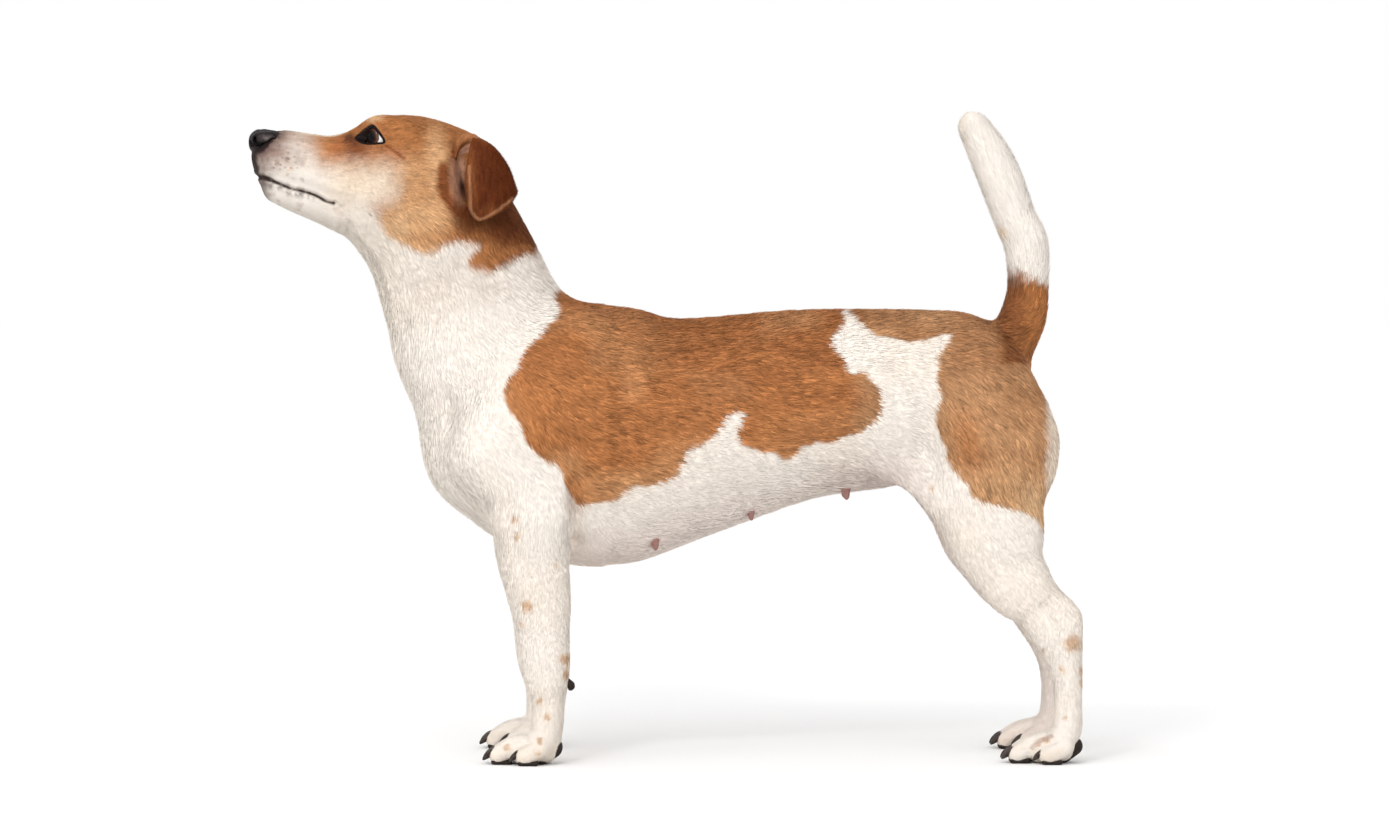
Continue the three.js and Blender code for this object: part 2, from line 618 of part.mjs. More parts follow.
const SIDES = [['left', -1], ['right', 1]];
for (const [name, side] of SIDES) {
  const step = side < 0 ? 0 : RIGHT_FORE_STEP;
  const onSide = (solid) => (side < 0 ? solid : mirrorY(solid).translate([step, 0, 0]));
  const fore = foreShell(side).intersect(foreCutter(side, true)).intersect(reversed(...CUT.neckTrunk));
  addNode(`shoulder_${name}`, fore.intersect(leftOf(...CUT.elbow)), 'tan');
  addNode(`foreleg_${name}`, fore.intersect(reversed(...CUT.elbow)).intersect(leftOf(...CUT.wrist))
    .subtract(onSide(wristPadSolid(GAP))), 'coat');
  addNode(`wristpad_${name}`, onSide(wristPadSolid()), 'leather');
  const hind = hindShell(side).intersect(hindCutter(side, true));
  addNode(`thigh_${name}`, hind.intersect(leftOf(...CUT.stifle)), 'tan');
  addNode(`shank_${name}`, hind.intersect(reversed(...CUT.stifle)).intersect(leftOf(...CUT.hock)), 'coat');
  addNode(`hock_${name}`, hind.intersect(reversed(...CUT.hock)).intersect(leftOf(...CUT.ankle)), 'coat');
}

for (const [name, foot, cut] of [['fore', FEET.fore, CUT.wrist], ['hind', FEET.hind, CUT.ankle]]) {
  const step = name === 'fore' ? RIGHT_FORE_STEP : 0;
  const addPair = (part, solid, look) => {
    addNode(`${name}${part}_left`, solid, look);
    addNode(`${name}${part}_right`, mirrorY(solid).translate([step, 0, 0]), look);
  };
  const whole = footShell(foot).intersect(reversed(...cut)).intersect(aboveFloor);
  addPair('paw', whole.subtract(padSolid(foot, GAP)).subtract(wristPadSolid(GAP)), 'coat');
  addPair('pad', padSolid(foot).intersect(aboveFloor), 'leather');
  const around = footShell(foot, GAP);
  TOES.forEach((place, i) => {
    const claw = clawSolid(foot, place).subtract(around).intersect(aboveFloor);
    addPair(`claw_${i + 1}`, largest(claw), 'claw');
  });
}

// The origin is at floor level under the middle of the whole animal.
const box = new THREE.Box3().setFromObject(dog);
const middle = box.getCenter(new THREE.Vector3());
dog.position.set(-middle.x, -middle.y, -box.min.z);

export default dog;
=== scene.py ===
# A short-coated white and tan terrier bitch, life size, standing square with head and tail raised.
#
# Shapes are worked out in millimetres in the dog's own drawing: she faces -X, her left side is -Y and
# the floor is Z 0. One smooth field gives the skin, its sign negative inside. Muscles and limbs are
# chains of balls, folds and lips are lines on them, and the coat is laid over the skin in fine tufts.
import math

import bpy
import numpy as np
from mathutils import Matrix, Vector
from mathutils.bvhtree import BVHTree


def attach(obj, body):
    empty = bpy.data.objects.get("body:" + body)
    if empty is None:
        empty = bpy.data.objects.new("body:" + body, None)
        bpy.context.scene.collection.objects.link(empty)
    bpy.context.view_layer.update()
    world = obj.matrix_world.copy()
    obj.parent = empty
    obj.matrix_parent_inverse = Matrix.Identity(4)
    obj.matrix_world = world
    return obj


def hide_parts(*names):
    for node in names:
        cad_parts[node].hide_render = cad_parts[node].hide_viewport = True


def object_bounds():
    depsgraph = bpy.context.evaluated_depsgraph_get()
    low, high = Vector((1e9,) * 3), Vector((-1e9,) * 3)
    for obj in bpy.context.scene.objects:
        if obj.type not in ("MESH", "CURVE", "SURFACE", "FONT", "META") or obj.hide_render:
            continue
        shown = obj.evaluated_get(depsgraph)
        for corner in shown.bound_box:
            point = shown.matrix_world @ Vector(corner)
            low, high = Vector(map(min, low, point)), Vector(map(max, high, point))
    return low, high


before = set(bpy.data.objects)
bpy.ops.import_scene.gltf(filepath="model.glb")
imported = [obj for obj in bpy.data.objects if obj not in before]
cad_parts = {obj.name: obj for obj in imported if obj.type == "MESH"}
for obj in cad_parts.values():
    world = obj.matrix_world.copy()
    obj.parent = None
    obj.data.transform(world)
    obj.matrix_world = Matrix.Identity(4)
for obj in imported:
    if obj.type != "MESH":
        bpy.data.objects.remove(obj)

CAD_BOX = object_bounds()
MM = 0.001
# From the drawing to the frame, whose origin is on the floor under the middle of the solids' box
DRAWING_SHIFT = np.array([2.073, -0.145, 0.0])
BODY = "root"
SIDES = (("left", -1), ("right", 1))

# ---------------------------------------------------------------- driving dimensions, as in the solids
HEAD_TURN = math.radians(8)  # towards her left
HEAD_PIVOT_X = -130
FORE_Y = 47
HIND_Y = 42
RIGHT_FORE_STEP = -6
EYE = np.array([-173, -17, 370])  # left eye, in the head's frame
EYE_RADIUS = 10
TOE_WIDTH = 8.2
SUBDIVISIONS = 4
HEAD_BLEND = 16
FAR = 1000.0


# ---------------------------------------------------------------- chains of balls
def catmull_rom(a, b, c, d, t):
    return 0.5 * (2 * b + (c - a) * t + (2 * a - 5 * b + 4 * c - d) * t**2 + (3 * b - a - 3 * c + d) * t**3)


def smooth_line(points, steps):
    """Points joined by a smooth curve, with a number of steps between two of them."""
    full = np.array(points, float)
    pad = np.vstack([full[:1], full, full[-1:]])
    rows = [
        catmull_rom(pad[i], pad[i + 1], pad[i + 2], pad[i + 3], s / steps)
        for i in range(len(full) - 1)
        for s in range(steps)
    ]
    return np.array(rows + [full[-1]])


def chain(balls):
    """Balls [x, y, z, radius, width as a share of depth], drawn as a smooth row."""
    return smooth_line([(*b, 1)[:5] for b in balls], SUBDIVISIONS)


def row(y, balls):
    """A chain that keeps one y: balls [x, z, radius, width]."""
    return chain([[x, y, *rest] for x, *rest in balls])


def chain_distance(balls, p):
    """Rough distance to the skin over a chain."""
    nearest = np.full(len(p), np.inf)
    for a, b in zip(balls[:-1], balls[1:]):
        step = b - a
        rel = p - a[:3]
        t = (rel @ step[:3] / (step[:3] @ step[:3])).clip(0, 1)
        rel -= t[:, None] * step[:3]
        rel[:, 1] /= a[4] + step[4] * t
        d = np.sqrt(np.einsum("ij,ij->i", rel, rel)) - (a[3] + step[3] * t)
        np.minimum(nearest, d, out=nearest)
    return nearest


def smooth_min(a, b, blend):
    h = np.maximum(blend - np.abs(a - b), 0) / blend
    return np.minimum(a, b) - h * h * blend / 4


def smooth_max(a, b, blend):
    return -smooth_min(-a, -b, blend)


def smooth_step(x, start, end):
    """0 before start, 1 past end, and an S between them."""
    t = ((x - start) / (end - start)).clip(0, 1)
    return t * t * (3 - 2 * t)


def unit(v):
    return v / np.maximum(np.linalg.norm(v, axis=1), 1e-9)[:, None]


def both_sides(chains, step=0):
    """Chains of the left side and their mirror images, which may stand a step further on."""
    return [*chains, *(c * [1, -1, 1, 1, 1] + [step, 0, 0, 0, 0] for c in chains)]


TRUNK = [
    row(0, [[-37.8, 192.6, 79.5, 0.76], [-17.5, 193.1, 72.7, 0.8], [15.9, 198, 65.6, 0.85],
            [76.2, 210.5, 58.1, 0.82], [131.7, 215.2, 54, 0.82], [168.5, 221.4, 46.7, 0.88]]),
    row(0, [[-106.3, 181.8, 40.1, 0.98], [-76.5, 187.5, 61, 0.82]]),  # brisket
    row(0, [[179.7, 206.1, 36.5, 0.75], [203.5, 177.8, 25.5, 0.7], [203.8, 159.9, 17.8, 0.8]]),
]
NECK = [
    row(0, [[-139.2, 328, 41.4, 0.88], [-129.9, 300.9, 48.7, 0.8], [-117.6, 268.9, 52.3, 0.78],
            [-109.5, 243.4, 54, 0.82], [-92.1, 210.6, 47.9, 0.9]]),
]
SHOULDER = [
    chain([[-52, -28, 246, 18, 0.8], [-80, -42, 215, 24, 0.7], [-104, -44, 184, 21, 0.8]]),
    chain([[-104, -44, 184, 21, 0.9], [-84, -49, 160, 23, 0.75], [-77, -FORE_Y, 145, 20, 0.85]]),
]
FORELEG = [
    row(-FORE_Y, [[-79.8, 144.3, 22.6, 0.8], [-78.7, 120.1, 21.4, 0.8], [-74.9, 96.6, 18.7, 0.8],
                  [-73.2, 79.5, 16.2, 0.84], [-71.8, 55.3, 14.8, 0.95], [-70.5, 39.4, 11, 1.05],
                  [-70.9, 22.5, 9.8, 1.2], [-72.5, 11.7, 10, 1.35]]),
]
HAUNCH = [
    chain([[183.9, -24, 219.8, 29.5, 0.8], [195.9, -30, 187.6, 37.8, 0.63], [189.2, -34, 158, 31.4, 0.62],
           [190.5, -36, 133.5, 23.3, 0.66]]),
    chain([[135.3, -27, 174.7, 6.9, 0.5], [160.6, -33, 154.5, 5.6, 0.6]]),  # flank fold
]
HINDLEG = [
    chain([[195.7, -36, 135.8, 28.3, 0.66], [199, -38, 119.7, 23.5, 0.68], [207.3, -40, 105.2, 21, 0.74],
           [216.4, -41, 94.8, 15.5, 0.78], [226.1, -HIND_Y, 80.8, 14.6, 0.8],
           [233.6, -HIND_Y, 63.7, 11.6, 0.85], [236.3, -HIND_Y, 49.6, 9.6, 0.95],
           [236.8, -HIND_Y, 33.9, 8.7, 1.05], [236, -HIND_Y, 19.6, 9.3, 1.3],
           [230.9, -HIND_Y, 11.5, 9.2, 1.35]]),
    row(-HIND_Y, [[227.2, 94.8, 6.4, 0.8], [239, 85.7, 6, 1], [236.6, 70.7, 4.7, 1]]),
]
TAIL = [
    row(0, [[200.5, 234.6, 13.9], [212.4, 260.5, 15.1], [216.3, 281, 13.4], [215.2, 307.2, 14.6],
            [208.1, 323.2, 14], [200.8, 343.4, 14.5], [192.9, 361.2, 13.6], [183.7, 376.9, 10.8]]),
]
HEAD = [
    row(0, [[-133.9, 347.4, 30.2, 1.04], [-152.2, 353.3, 30.9, 1.06], [-166.3, 361.2, 21.2, 1.05]]),
    row(0, [[-167.5, 358.7, 20.5, 1.15], [-186.1, 357.5, 17.5, 1.05], [-201, 354.4, 17.4, 0.98],
            [-215.6, 356.7, 16.3, 0.98], [-229, 359.7, 15.1, 1.05], [-237.2, 362, 11.5, 1.12]]),
    row(0, [[-236, 350.4, 9.4, 1.35], [-221.7, 348.1, 9, 1.8], [-203.9, 342.7, 9, 2]]),
    row(0, [[-166.2, 321.4, 25.5, 0.95], [-141, 322.5, 36.3, 0.88]]),
]
CHEEK = [
    chain([[-190, -13, 351, 8], [-176, -19.5, 352, 9.5], [-160, -26, 351, 10.5], [-142, -28, 352, 9.5]]),
    chain([[-190, -12, 337, 10], [-172, -17, 335, 13], [-154, -21, 336, 17], [-144, -20, 324, 17]]),
]
BROW = [chain([[-184.7, -11, 369.5, 5.5], [-174.8, -16.5, 375.2, 7.8], [-160.5, -20, 372, 9.1]])]
JAW = [
    row(0, [[-233.1, 340, 9.1, 1.15], [-222.4, 335.6, 10, 1.35], [-205.8, 329.3, 10.8, 1.45],
            [-186.7, 323.7, 14.1, 1.45], [-168.7, 325.6, 20.5, 1.25]]),
]
NOSE = row(0, [[-242.5, 367.3, 8.4, 1.45], [-235.8, 369.3, 5.4, 1.6]])
EAR_BASE = chain([[-123, -23.5, 359, 3.2], [-116, -24.5, 356, 4.2], [-110, -25, 346, 5.4],
                  [-106, -27, 336, 6]])
EAR_CURL = chain([[-119, -34, 370, 2.4], [-124.5, -33, 369.5, 3.0], [-128.5, -32, 365, 2.6],
                  [-129.5, -31.5, 359, 1.6]])

TOE_REACH = 16.5  # from a foot's middle to the middle of its toe tips
FEET = {  # middle, heel pad's place and size; toes: across in toe widths, and forward
    "fore": {"x": -78, "y": -FORE_Y, "heel": 8, "pad": 7.0,
             "toes": [(-1.5, -7), (-0.5, 5), (0.5, 5), (1.5, -11)]},
    "hind": {"x": 228, "y": -HIND_Y, "heel": 10.5, "pad": 5.8,
             "toes": [(-1.5, -7), (-0.5, 5), (0.5, 5), (1.5, -13)]},
}


def toe_place(foot, across, forward):
    return foot["x"] - TOE_REACH - forward, foot["y"] - across * TOE_WIDTH


def foot_chains(foot):
    made = []
    for across, forward in foot["toes"]:
        tip, y = toe_place(foot, across, forward)
        made.append(chain([[foot["x"] + 2, foot["y"] - across * TOE_WIDTH * 0.6, 13.8, 6.3],
                           [tip + 9, y, 10.6, 6.2], [tip, y, 5.4, 5.7]]))
    made.append(chain([[foot["x"] + 4, foot["y"], 9, 9.5, 1.35], [foot["x"] - 8, foot["y"], 7, 7.5, 1.9]]))
    return made


BODY_GROUPS = [  # how far each group's chains blend into what is there, and the chains
    (26, TRUNK),
    (26, NECK),
    (20, both_sides(SHOULDER)),
    (20, both_sides(HAUNCH)),
    (9, TAIL),
    (12, both_sides(FORELEG, RIGHT_FORE_STEP)),
    (12, both_sides(HINDLEG)),
    (2.6, [*both_sides(foot_chains(FEET["fore"]), RIGHT_FORE_STEP), *both_sides(foot_chains(FEET["hind"]))]),
]
HEAD_GROUPS = [(11, HEAD), (12, both_sides(CHEEK)), (9, both_sides(BROW)), (6, JAW)]


def chain_box(balls):
    half = balls[:, 3:4] * np.stack([np.ones(len(balls)), np.maximum(balls[:, 4], 1), np.ones(len(balls))], 1)
    return (balls[:, :3] - half).min(0), (balls[:, :3] + half).max(0)


def box_gap(p, box):
    """How far points are outside a box."""
    gap = np.maximum(np.maximum(box[0] - p, p - box[1]), 0)
    return np.sqrt(np.einsum("ij,ij->i", gap, gap))


def join(d, groups, p):
    """d joined with each group's chains in turn; chains too far away to matter are passed over."""
    low, high = p.min(0), p.max(0)
    for blend, chains in groups:
        for balls in chains:
            box = chain_box(balls)
            if np.linalg.norm(np.maximum(np.maximum(box[0] - high, low - box[1]), 0)) > d.max() + blend:
                continue
            near = box_gap(p, box) / max(balls[:, 4].max(), 1) < d + blend
            if near.any():
                d[near] = smooth_min(d[near], chain_distance(balls, p[near]), blend)
    return d


def turn(p, angle):
    """Points or directions turned about the upright line through the head's pivot."""
    c, s = math.cos(angle), math.sin(angle)
    return p @ np.array([[c, s, 0], [-s, c, 0], [0, 0, 1]])


PIVOT = np.array([HEAD_PIVOT_X, 0, 0])


def to_head(p):
    """Into the head's own frame, before it turns."""
    return turn(p - PIVOT, -HEAD_TURN) + PIVOT


def from_head(p):
    return turn(p - PIVOT, HEAD_TURN) + PIVOT


HEAD_BOX = (np.array([-252, -50, 285]), np.array([-95, 50, 392]))


def flesh(p):
    """The outside of the coat, as the solids have it, without ears and teats."""
    d = join(np.full(len(p), FAR), BODY_GROUPS, p)
    h = to_head(p)
    near = box_gap(h, HEAD_BOX) < d + HEAD_BLEND
    if near.any():
        head = join(np.full(near.sum(), FAR), HEAD_GROUPS, h[near])
        d[near] = smooth_min(d[near], head, HEAD_BLEND)
    return d


# ---------------------------------------------------------------- regions
def ramp(p, axis, start, end):
    """An S from 0 to 1 along one axis of the points."""
    return smooth_step(p[:, axis], start, end)


HEAD_REAR = -60  # x: nothing of the head lies behind it
TAIL_FRONT = 150  # x: nothing of the tail lies before it


def headness(p):
    """0 on the neck and 1 on the head."""
    h = to_head(p)
    along = -h[:, 0] * 0.62 + h[:, 2] * 0.78
    return smooth_step(along, 338, 362) * (p[:, 0] < HEAD_REAR)


BODY_COAT = 1.5  # depth of the lying coat, in millimetres
LEG_COAT = 0.95
FOOT_COAT = 0.5
HEAD_COAT = 0.7
MUZZLE_COAT = 0.4
TAIL_COAT = 1.7


def coat_depth(p):
    """How far the skin lies below the tips of the coat."""
    depth = BODY_COAT + (LEG_COAT - BODY_COAT) * ramp(p, 2, 150, 95)
    depth = depth + (FOOT_COAT - depth) * ramp(p, 2, 45, 20)
    muzzle = ramp(to_head(p), 0, -185, -212)
    on_head = HEAD_COAT + (MUZZLE_COAT - HEAD_COAT) * muzzle
    depth = depth + (on_head - depth) * headness(p)
    tail = ramp(p, 2, 262, 290) * (p[:, 0] > TAIL_FRONT)
    return depth + (TAIL_COAT - depth) * tail


# ---------------------------------------------------------------- ears
EAR_LINES = [  # from the front edge to the rear edge
    [[-128, -26, 361], [-118, -27, 360], [-109, -29, 350], [-109, -29, 337]],  # root
    [[-125, -31, 367], [-114, -33.5, 365], [-103, -35, 353], [-100, -34, 337]],
    [[-120, -35, 370.5], [-108, -37.5, 362.5], [-99.5, -39, 350], [-94.5, -37.5, 337.5]],  # fold
    [[-121, -39, 364], [-114, -43, 351], [-107, -44.5, 340], [-97, -41, 333.5]],
    [[-122.5, -39.5, 357], [-124, -43, 340], [-118, -44, 321.5], [-99, -41, 330]],  # free edge
]
EAR_HALF = 1.0  # half the thickness of the leather under its hair
EAR_ROOT = (np.array([-113.0, -28.0, 352.0]), 17.0)  # where the ear grows from the head: middle and reach
EAR_STEPS = 8


def ear_tree():
    across = [smooth_line(line, EAR_STEPS) for line in EAR_LINES]
    grid = np.array([smooth_line(column, EAR_STEPS) for column in np.transpose(across, (1, 0, 2))])
    rows, columns = grid.shape[:2]
    quads = [
        (i * columns + j, i * columns + j + 1, (i + 1) * columns + j + 1, (i + 1) * columns + j)
        for i in range(rows - 1)
        for j in range(columns - 1)
    ]
    return BVHTree.FromPolygons(grid.reshape(-1, 3).tolist(), quads), grid.reshape(-1, 3)


EAR_TREE, EAR_POINTS = ear_tree()
EAR_BOX = (EAR_POINTS.min(0) - 4, EAR_POINTS.max(0) + 4)


def ear_distance(h):
    """Distance to the left ear's leather, and on which side of it a point lies (1 is the haired side)."""
    found = [EAR_TREE.find_nearest(q) for q in h]
    distance = np.array([f[3] for f in found]) - EAR_HALF
    side = np.array([(Vector(q) - f[0]).dot(f[1]) for q, f in zip(h, found)])
    return distance, np.sign(side)


def to_left_half(h):
    """A point and its mirror image are one."""
    return h * [1, 0, 1] - np.abs(h) * [0, 1, 0]


# ---------------------------------------------------------------- eyes and lips
LID_RADIUS = 10.6
EYE_REACH = 22  # how far from the eye's middle the skin minds the opening of the lids
EYE_SEAT = 0.6  # how deep the ball stands in the flesh behind it
INNERMOST_Y = -14  # the opening cuts no nearer to the head's middle
EYE_OPENING = [  # in x and z of the head's frame, from the inner corner over the top
    [-186.8, 369.0], [-183.5, 371.5], [-180.7, 373.9], [-178.2, 375.2], [-176, 373.1], [-173.8, 370.3],
    [-171.9, 367], [-175, 366.3], [-179.1, 366.1], [-182.2, 366.4], [-184.8, 367.5],
]
LID_BED = (np.array([-184.5, -14.5, 369.4]), 6.9)  # flesh kept under the third eyelid: middle and radius
LIP_GROOVE = 1.1
LIP_BULGE = 0.4
MOUTH_LINE = [
    [-249, 347.6], [-245.4, 346.8], [-240.6, 345.6], [-236.3, 343.9], [-230.4, 341.4], [-225.4, 339.3],
    [-219.7, 338.1], [-214.4, 336.6], [-209.7, 334.6], [-205.4, 332], [-200.7, 330.9],
]


def closed_outline(points, steps=4):
    """A closed smooth outline through points."""
    pts = np.array(points, float)
    count = len(pts)
    return np.array([
        catmull_rom(pts[i - 1], pts[i], pts[(i + 1) % count], pts[(i + 2) % count], s / steps)
        for i in range(count)
        for s in range(steps)
    ])


def line_distance(line, q):
    """Distance to an open line of any number of dimensions."""
    nearest = np.full(len(q), np.inf)
    for a, b in zip(line[:-1], line[1:]):
        step = b - a
        t = ((q - a) @ step / (step @ step)).clip(0, 1)
        nearest = np.minimum(nearest, ((q - a - t[:, None] * step) ** 2).sum(1))
    return np.sqrt(nearest)


def outline_distance(outline, q):
    """Distance to a closed outline in a plane, negative inside."""
    closed = np.vstack([outline, outline[:1]])
    inside = np.zeros(len(q), bool)
    for a, b in zip(closed[:-1], closed[1:]):
        crosses = (a[1] > q[:, 1]) != (b[1] > q[:, 1])
        with np.errstate(divide="ignore", invalid="ignore"):
            at = a[0] + (q[:, 1] - a[1]) / (b[1] - a[1]) * (b[0] - a[0])
        inside ^= crosses & (q[:, 0] < at)
    return line_distance(closed, q) * np.where(inside, -1, 1)


OPENING = closed_outline(EYE_OPENING)
LIPS = smooth_line(MOUTH_LINE, 3)

# Folds and hollows: a line in x and z, half width, depth (negative for a ridge)
BODY_FOLDS = [
    ([[-57, 168], [-55, 152], [-56, 134]], 4, 3.4),  # behind the elbow
    ([[-42, 268], [-35, 244], [-30, 215], [-34, 185]], 8, 1.6),  # behind the shoulder blade
    ([[-131, 216], [-126, 191], [-120, 173], [-110, 155]], 6, 2.2),  # between breast and shoulder
    ([[-96, 236], [-106, 208], [-112, 190]], 8, -1.0),
    ([[-100, 150], [-92, 128], [-86, 108]], 5, -0.8),  # forearm muscle
    ([[134, 240], [146, 215], [150, 188]], 9, 1.6),  # in front of the thigh
    ([[140, 182], [158, 158], [172, 132]], 5, -1.2),  # flank fold's edge
    ([[206, 205], [212, 175], [206, 140]], 7, 1.2),  # between the thigh's muscles
    ([[222, 96], [230, 84], [234, 64]], 3, 1.4),  # before the heel tendon
    ([[-194, 317], [-178, 300], [-170, 280], [-166, 250]], 2.6, 1.2),  # throat
    ([[-186, 312], [-170, 292], [-163, 262]], 3.2, -1.0),
    ([[-158, 268], [-152, 252], [-150, 238]], 2.4, 0.8),
    ([[20, 150], [60, 160], [105, 172]], 10, 0.7),
]
HEAD_FOLDS = [
    ([[-171.2, 366.4], [-167, 362.6], [-163.5, 359.6]], 1.1, 0.8),  # from the eye's rear corner
    ([[-189, 362.4], [-182, 361.6], [-174, 362.4]], 1.6, 0.5),  # under the lower lid
    ([[-190, 372], [-184.5, 376.4], [-178.5, 379.4], [-173.5, 377]], 1.4, 0.6),  # over the upper lid
    ([[-138, 358], [-137, 346], [-132, 333]], 3.4, -1.5),  # before the ear
    ([[-127, 361], [-126.5, 348], [-123, 336]], 3.6, 3.0),  # the ear's hollow
    ([[-200.7, 330.9], [-196, 326], [-192, 318]], 2.0, 0.8),  # corner of the lips
    ([[-216, 345], [-206, 341], [-198, 338]], 5, -0.6),
]


def folds_at(p, folds, reach, full):
    """Depth of folds; none counts past its reach, in half widths, and all are full from a y on."""
    depth = np.zeros(len(p))
    q = p[:, [0, 2]]
    share = smooth_step(np.abs(p[:, 1]), 4, full)
    for line, width, deep in folds:
        near = box_gap(q, (np.min(line, 0), np.max(line, 0))) < reach * width
        if near.any():
            d = line_distance(smooth_line(line, 3), q[near])
            depth[near] += deep * np.exp(-((d / width) ** 2)) * share[near]
    return depth


TEATS = [[-7.5, -27, 0.8], [49.5, -19, 0.75], [106.5, -11, 1.0]]  # place from above on her left, and size
BELLY_TOP = 175  # the teats' skin is under this height


def head_details(d, h, lids_open):
    """The head's skin with lids, lips, ears and the seat of the nose; h is in the left half."""
    d = d + folds_at(h, HEAD_FOLDS, FAR, 9)
    from_eye = np.linalg.norm(h - EYE, axis=1)
    d = smooth_min(d, from_eye - LID_RADIUS, 4)
    around = from_eye < EYE_REACH
    if lids_open and around.any():
        q = h[around]
        bed = LID_BED[1] - np.linalg.norm(q - LID_BED[0], axis=1)
        seat = EYE_RADIUS - EYE_SEAT - from_eye[around]
        opening = np.max([outline_distance(OPENING, q[:, [0, 2]]), q[:, 1] - INNERMOST_Y, seat, bed], 0)
        d[around] = smooth_max(d[around], -opening, 0.5)
    lips = line_distance(LIPS, h[:, [0, 2]])
    groove, bulge = np.exp(-((lips / 0.85) ** 2)), np.exp(-(((lips - 2.0) / 1.2) ** 2))
    d = d + LIP_GROOVE * groove - LIP_BULGE * bulge
    d = smooth_max(d, -(chain_distance(NOSE, h) + 1.6), 0.8)
    d = smooth_min(d, chain_distance(EAR_CURL, h) + 0.7, 3.0)
    d = smooth_min(d, chain_distance(EAR_BASE, h), 4.0)
    by_ear = box_gap(h, EAR_BOX) < 6
    if by_ear.any():
        q = h[by_ear]
        leather, _ = ear_distance(q)
        root = np.linalg.norm(q - EAR_ROOT[0], axis=1) / EAR_ROOT[1]
        d[by_ear] = smooth_min(d[by_ear], leather, 0.5 + 4 * np.exp(-root**4))
    return d


FLOOR_GAP = 0.25


def skin(p, lids_open=True):
    """The bare skin under the coat."""
    d = flesh(p) + coat_depth(p) + folds_at(p, BODY_FOLDS, 2.5, 14)
    h = to_left_half(to_head(p))
    near = (box_gap(h, HEAD_BOX) < 4) & (d < 40)
    if near.any():
        d[near] = head_details(d[near], h[near], lids_open)
    return np.maximum(d, FLOOR_GAP - p[:, 2])


# ---------------------------------------------------------------- from a field to a mesh
BLOCK = 4
STEEPEST = 1.9  # most that the field changes in a millimetre


def grid_line(start, end, steps):
    """Grid places whose spacing follows [place, spacing] pairs."""
    places, spacing = np.transpose(steps)
    line = [start]
    while line[-1] < end or len(line) % BLOCK:
        line.append(line[-1] + np.interp(line[-1], places, spacing))
    return np.array(line)


def in_parts(field, p, size=60000):
    return np.concatenate([field(p[i:i + size]) for i in range(0, len(p), size)])


def sampled(field, lines):
    """The field at every crossing of a grid; far from its surface only the sign is right."""
    blocks = [line.reshape(-1, BLOCK) for line in lines]
    half = [np.ptp(b, axis=1) * (BLOCK / (BLOCK - 1)) / 2 for b in blocks]
    middles = np.stack(np.meshgrid(*[b.mean(1) for b in blocks], indexing="ij"), -1)
    reach = np.sqrt(sum(h**2 for h in np.meshgrid(*half, indexing="ij")))
    coarse = in_parts(field, middles.reshape(-1, 3)).reshape(reach.shape)
    values, near = coarse, np.abs(coarse) < STEEPEST * reach
    for axis in range(3):
        values = values.repeat(BLOCK, axis)
        near = near.repeat(BLOCK, axis)
    i, j, k = np.nonzero(near)
    values[near] = in_parts(field, np.stack([lines[0][i], lines[1][j], lines[2][k]], 1))
    return values


def surface_net(values, lines):
    """Points and four-sided faces of the surface where the field is zero."""
    inside = values < 0
    shape = np.array(values.shape) - 1
    total = np.zeros((shape.prod(), 3))
    count = np.zeros(shape.prod())
    edges = []
    for axis in range(3):
        lower = [slice(None)] * 3
        upper = [slice(None)] * 3
        lower[axis], upper[axis] = slice(0, -1), slice(1, None)
        start = np.argwhere(inside[tuple(lower)] != inside[tuple(upper)])
        a = values[tuple(lower)][tuple(start.T)]
        b = values[tuple(upper)][tuple(start.T)]
        at = np.stack([lines[k][start[:, k]] for k in range(3)], 1)
        at[:, axis] += a / (a - b) * (lines[axis][start[:, axis] + 1] - at[:, axis])
        u, v = (axis + 1) % 3, (axis + 2) % 3
        cells = []
        for du, dv in ((-1, -1), (0, -1), (0, 0), (-1, 0)):
            cell = start.copy()
            cell[:, u] += du
            cell[:, v] += dv
            index = np.ravel_multi_index(cell.T, shape, mode="clip")
            for k in range(3):
                total[:, k] += np.bincount(index, at[:, k], len(total))
            count += np.bincount(index, minlength=len(count))
            cells.append(index)
        quad = np.stack(cells, 1)
        quad[a > b] = quad[a > b][:, ::-1]
        edges.append(quad)
    used = np.nonzero(count)[0]
    number = np.zeros(len(count), np.int64)
    number[used] = np.arange(len(used))
    return total[used] / count[used][:, None], number[np.concatenate(edges)]


def gradient(field, p, step=0.35):
    """The field and its slope at points."""
    corners = np.array([[1, -1, -1], [-1, -1, 1], [-1, 1, -1], [1, 1, 1]])
    at = [in_parts(field, p + corner * step) for corner in corners]
    slope = sum(corner * value[:, None] for corner, value in zip(corners, at)) / (4 * step)
    return sum(at) / 4, slope


def onto_surface(field, p, rounds=3, most=0.8):
    """Points moved onto the field's surface, and the directions out of it."""
    for _ in range(rounds):
        value, slope = gradient(field, p)
        size = (slope**2).sum(1)
        move = -value / np.maximum(size, 0.05)
        p = p + slope * (move / np.maximum(np.abs(move) * np.sqrt(size) / most, 1))[:, None]
    normal = slope / np.maximum(np.linalg.norm(slope, axis=1), 1e-6)[:, None]
    return p, normal


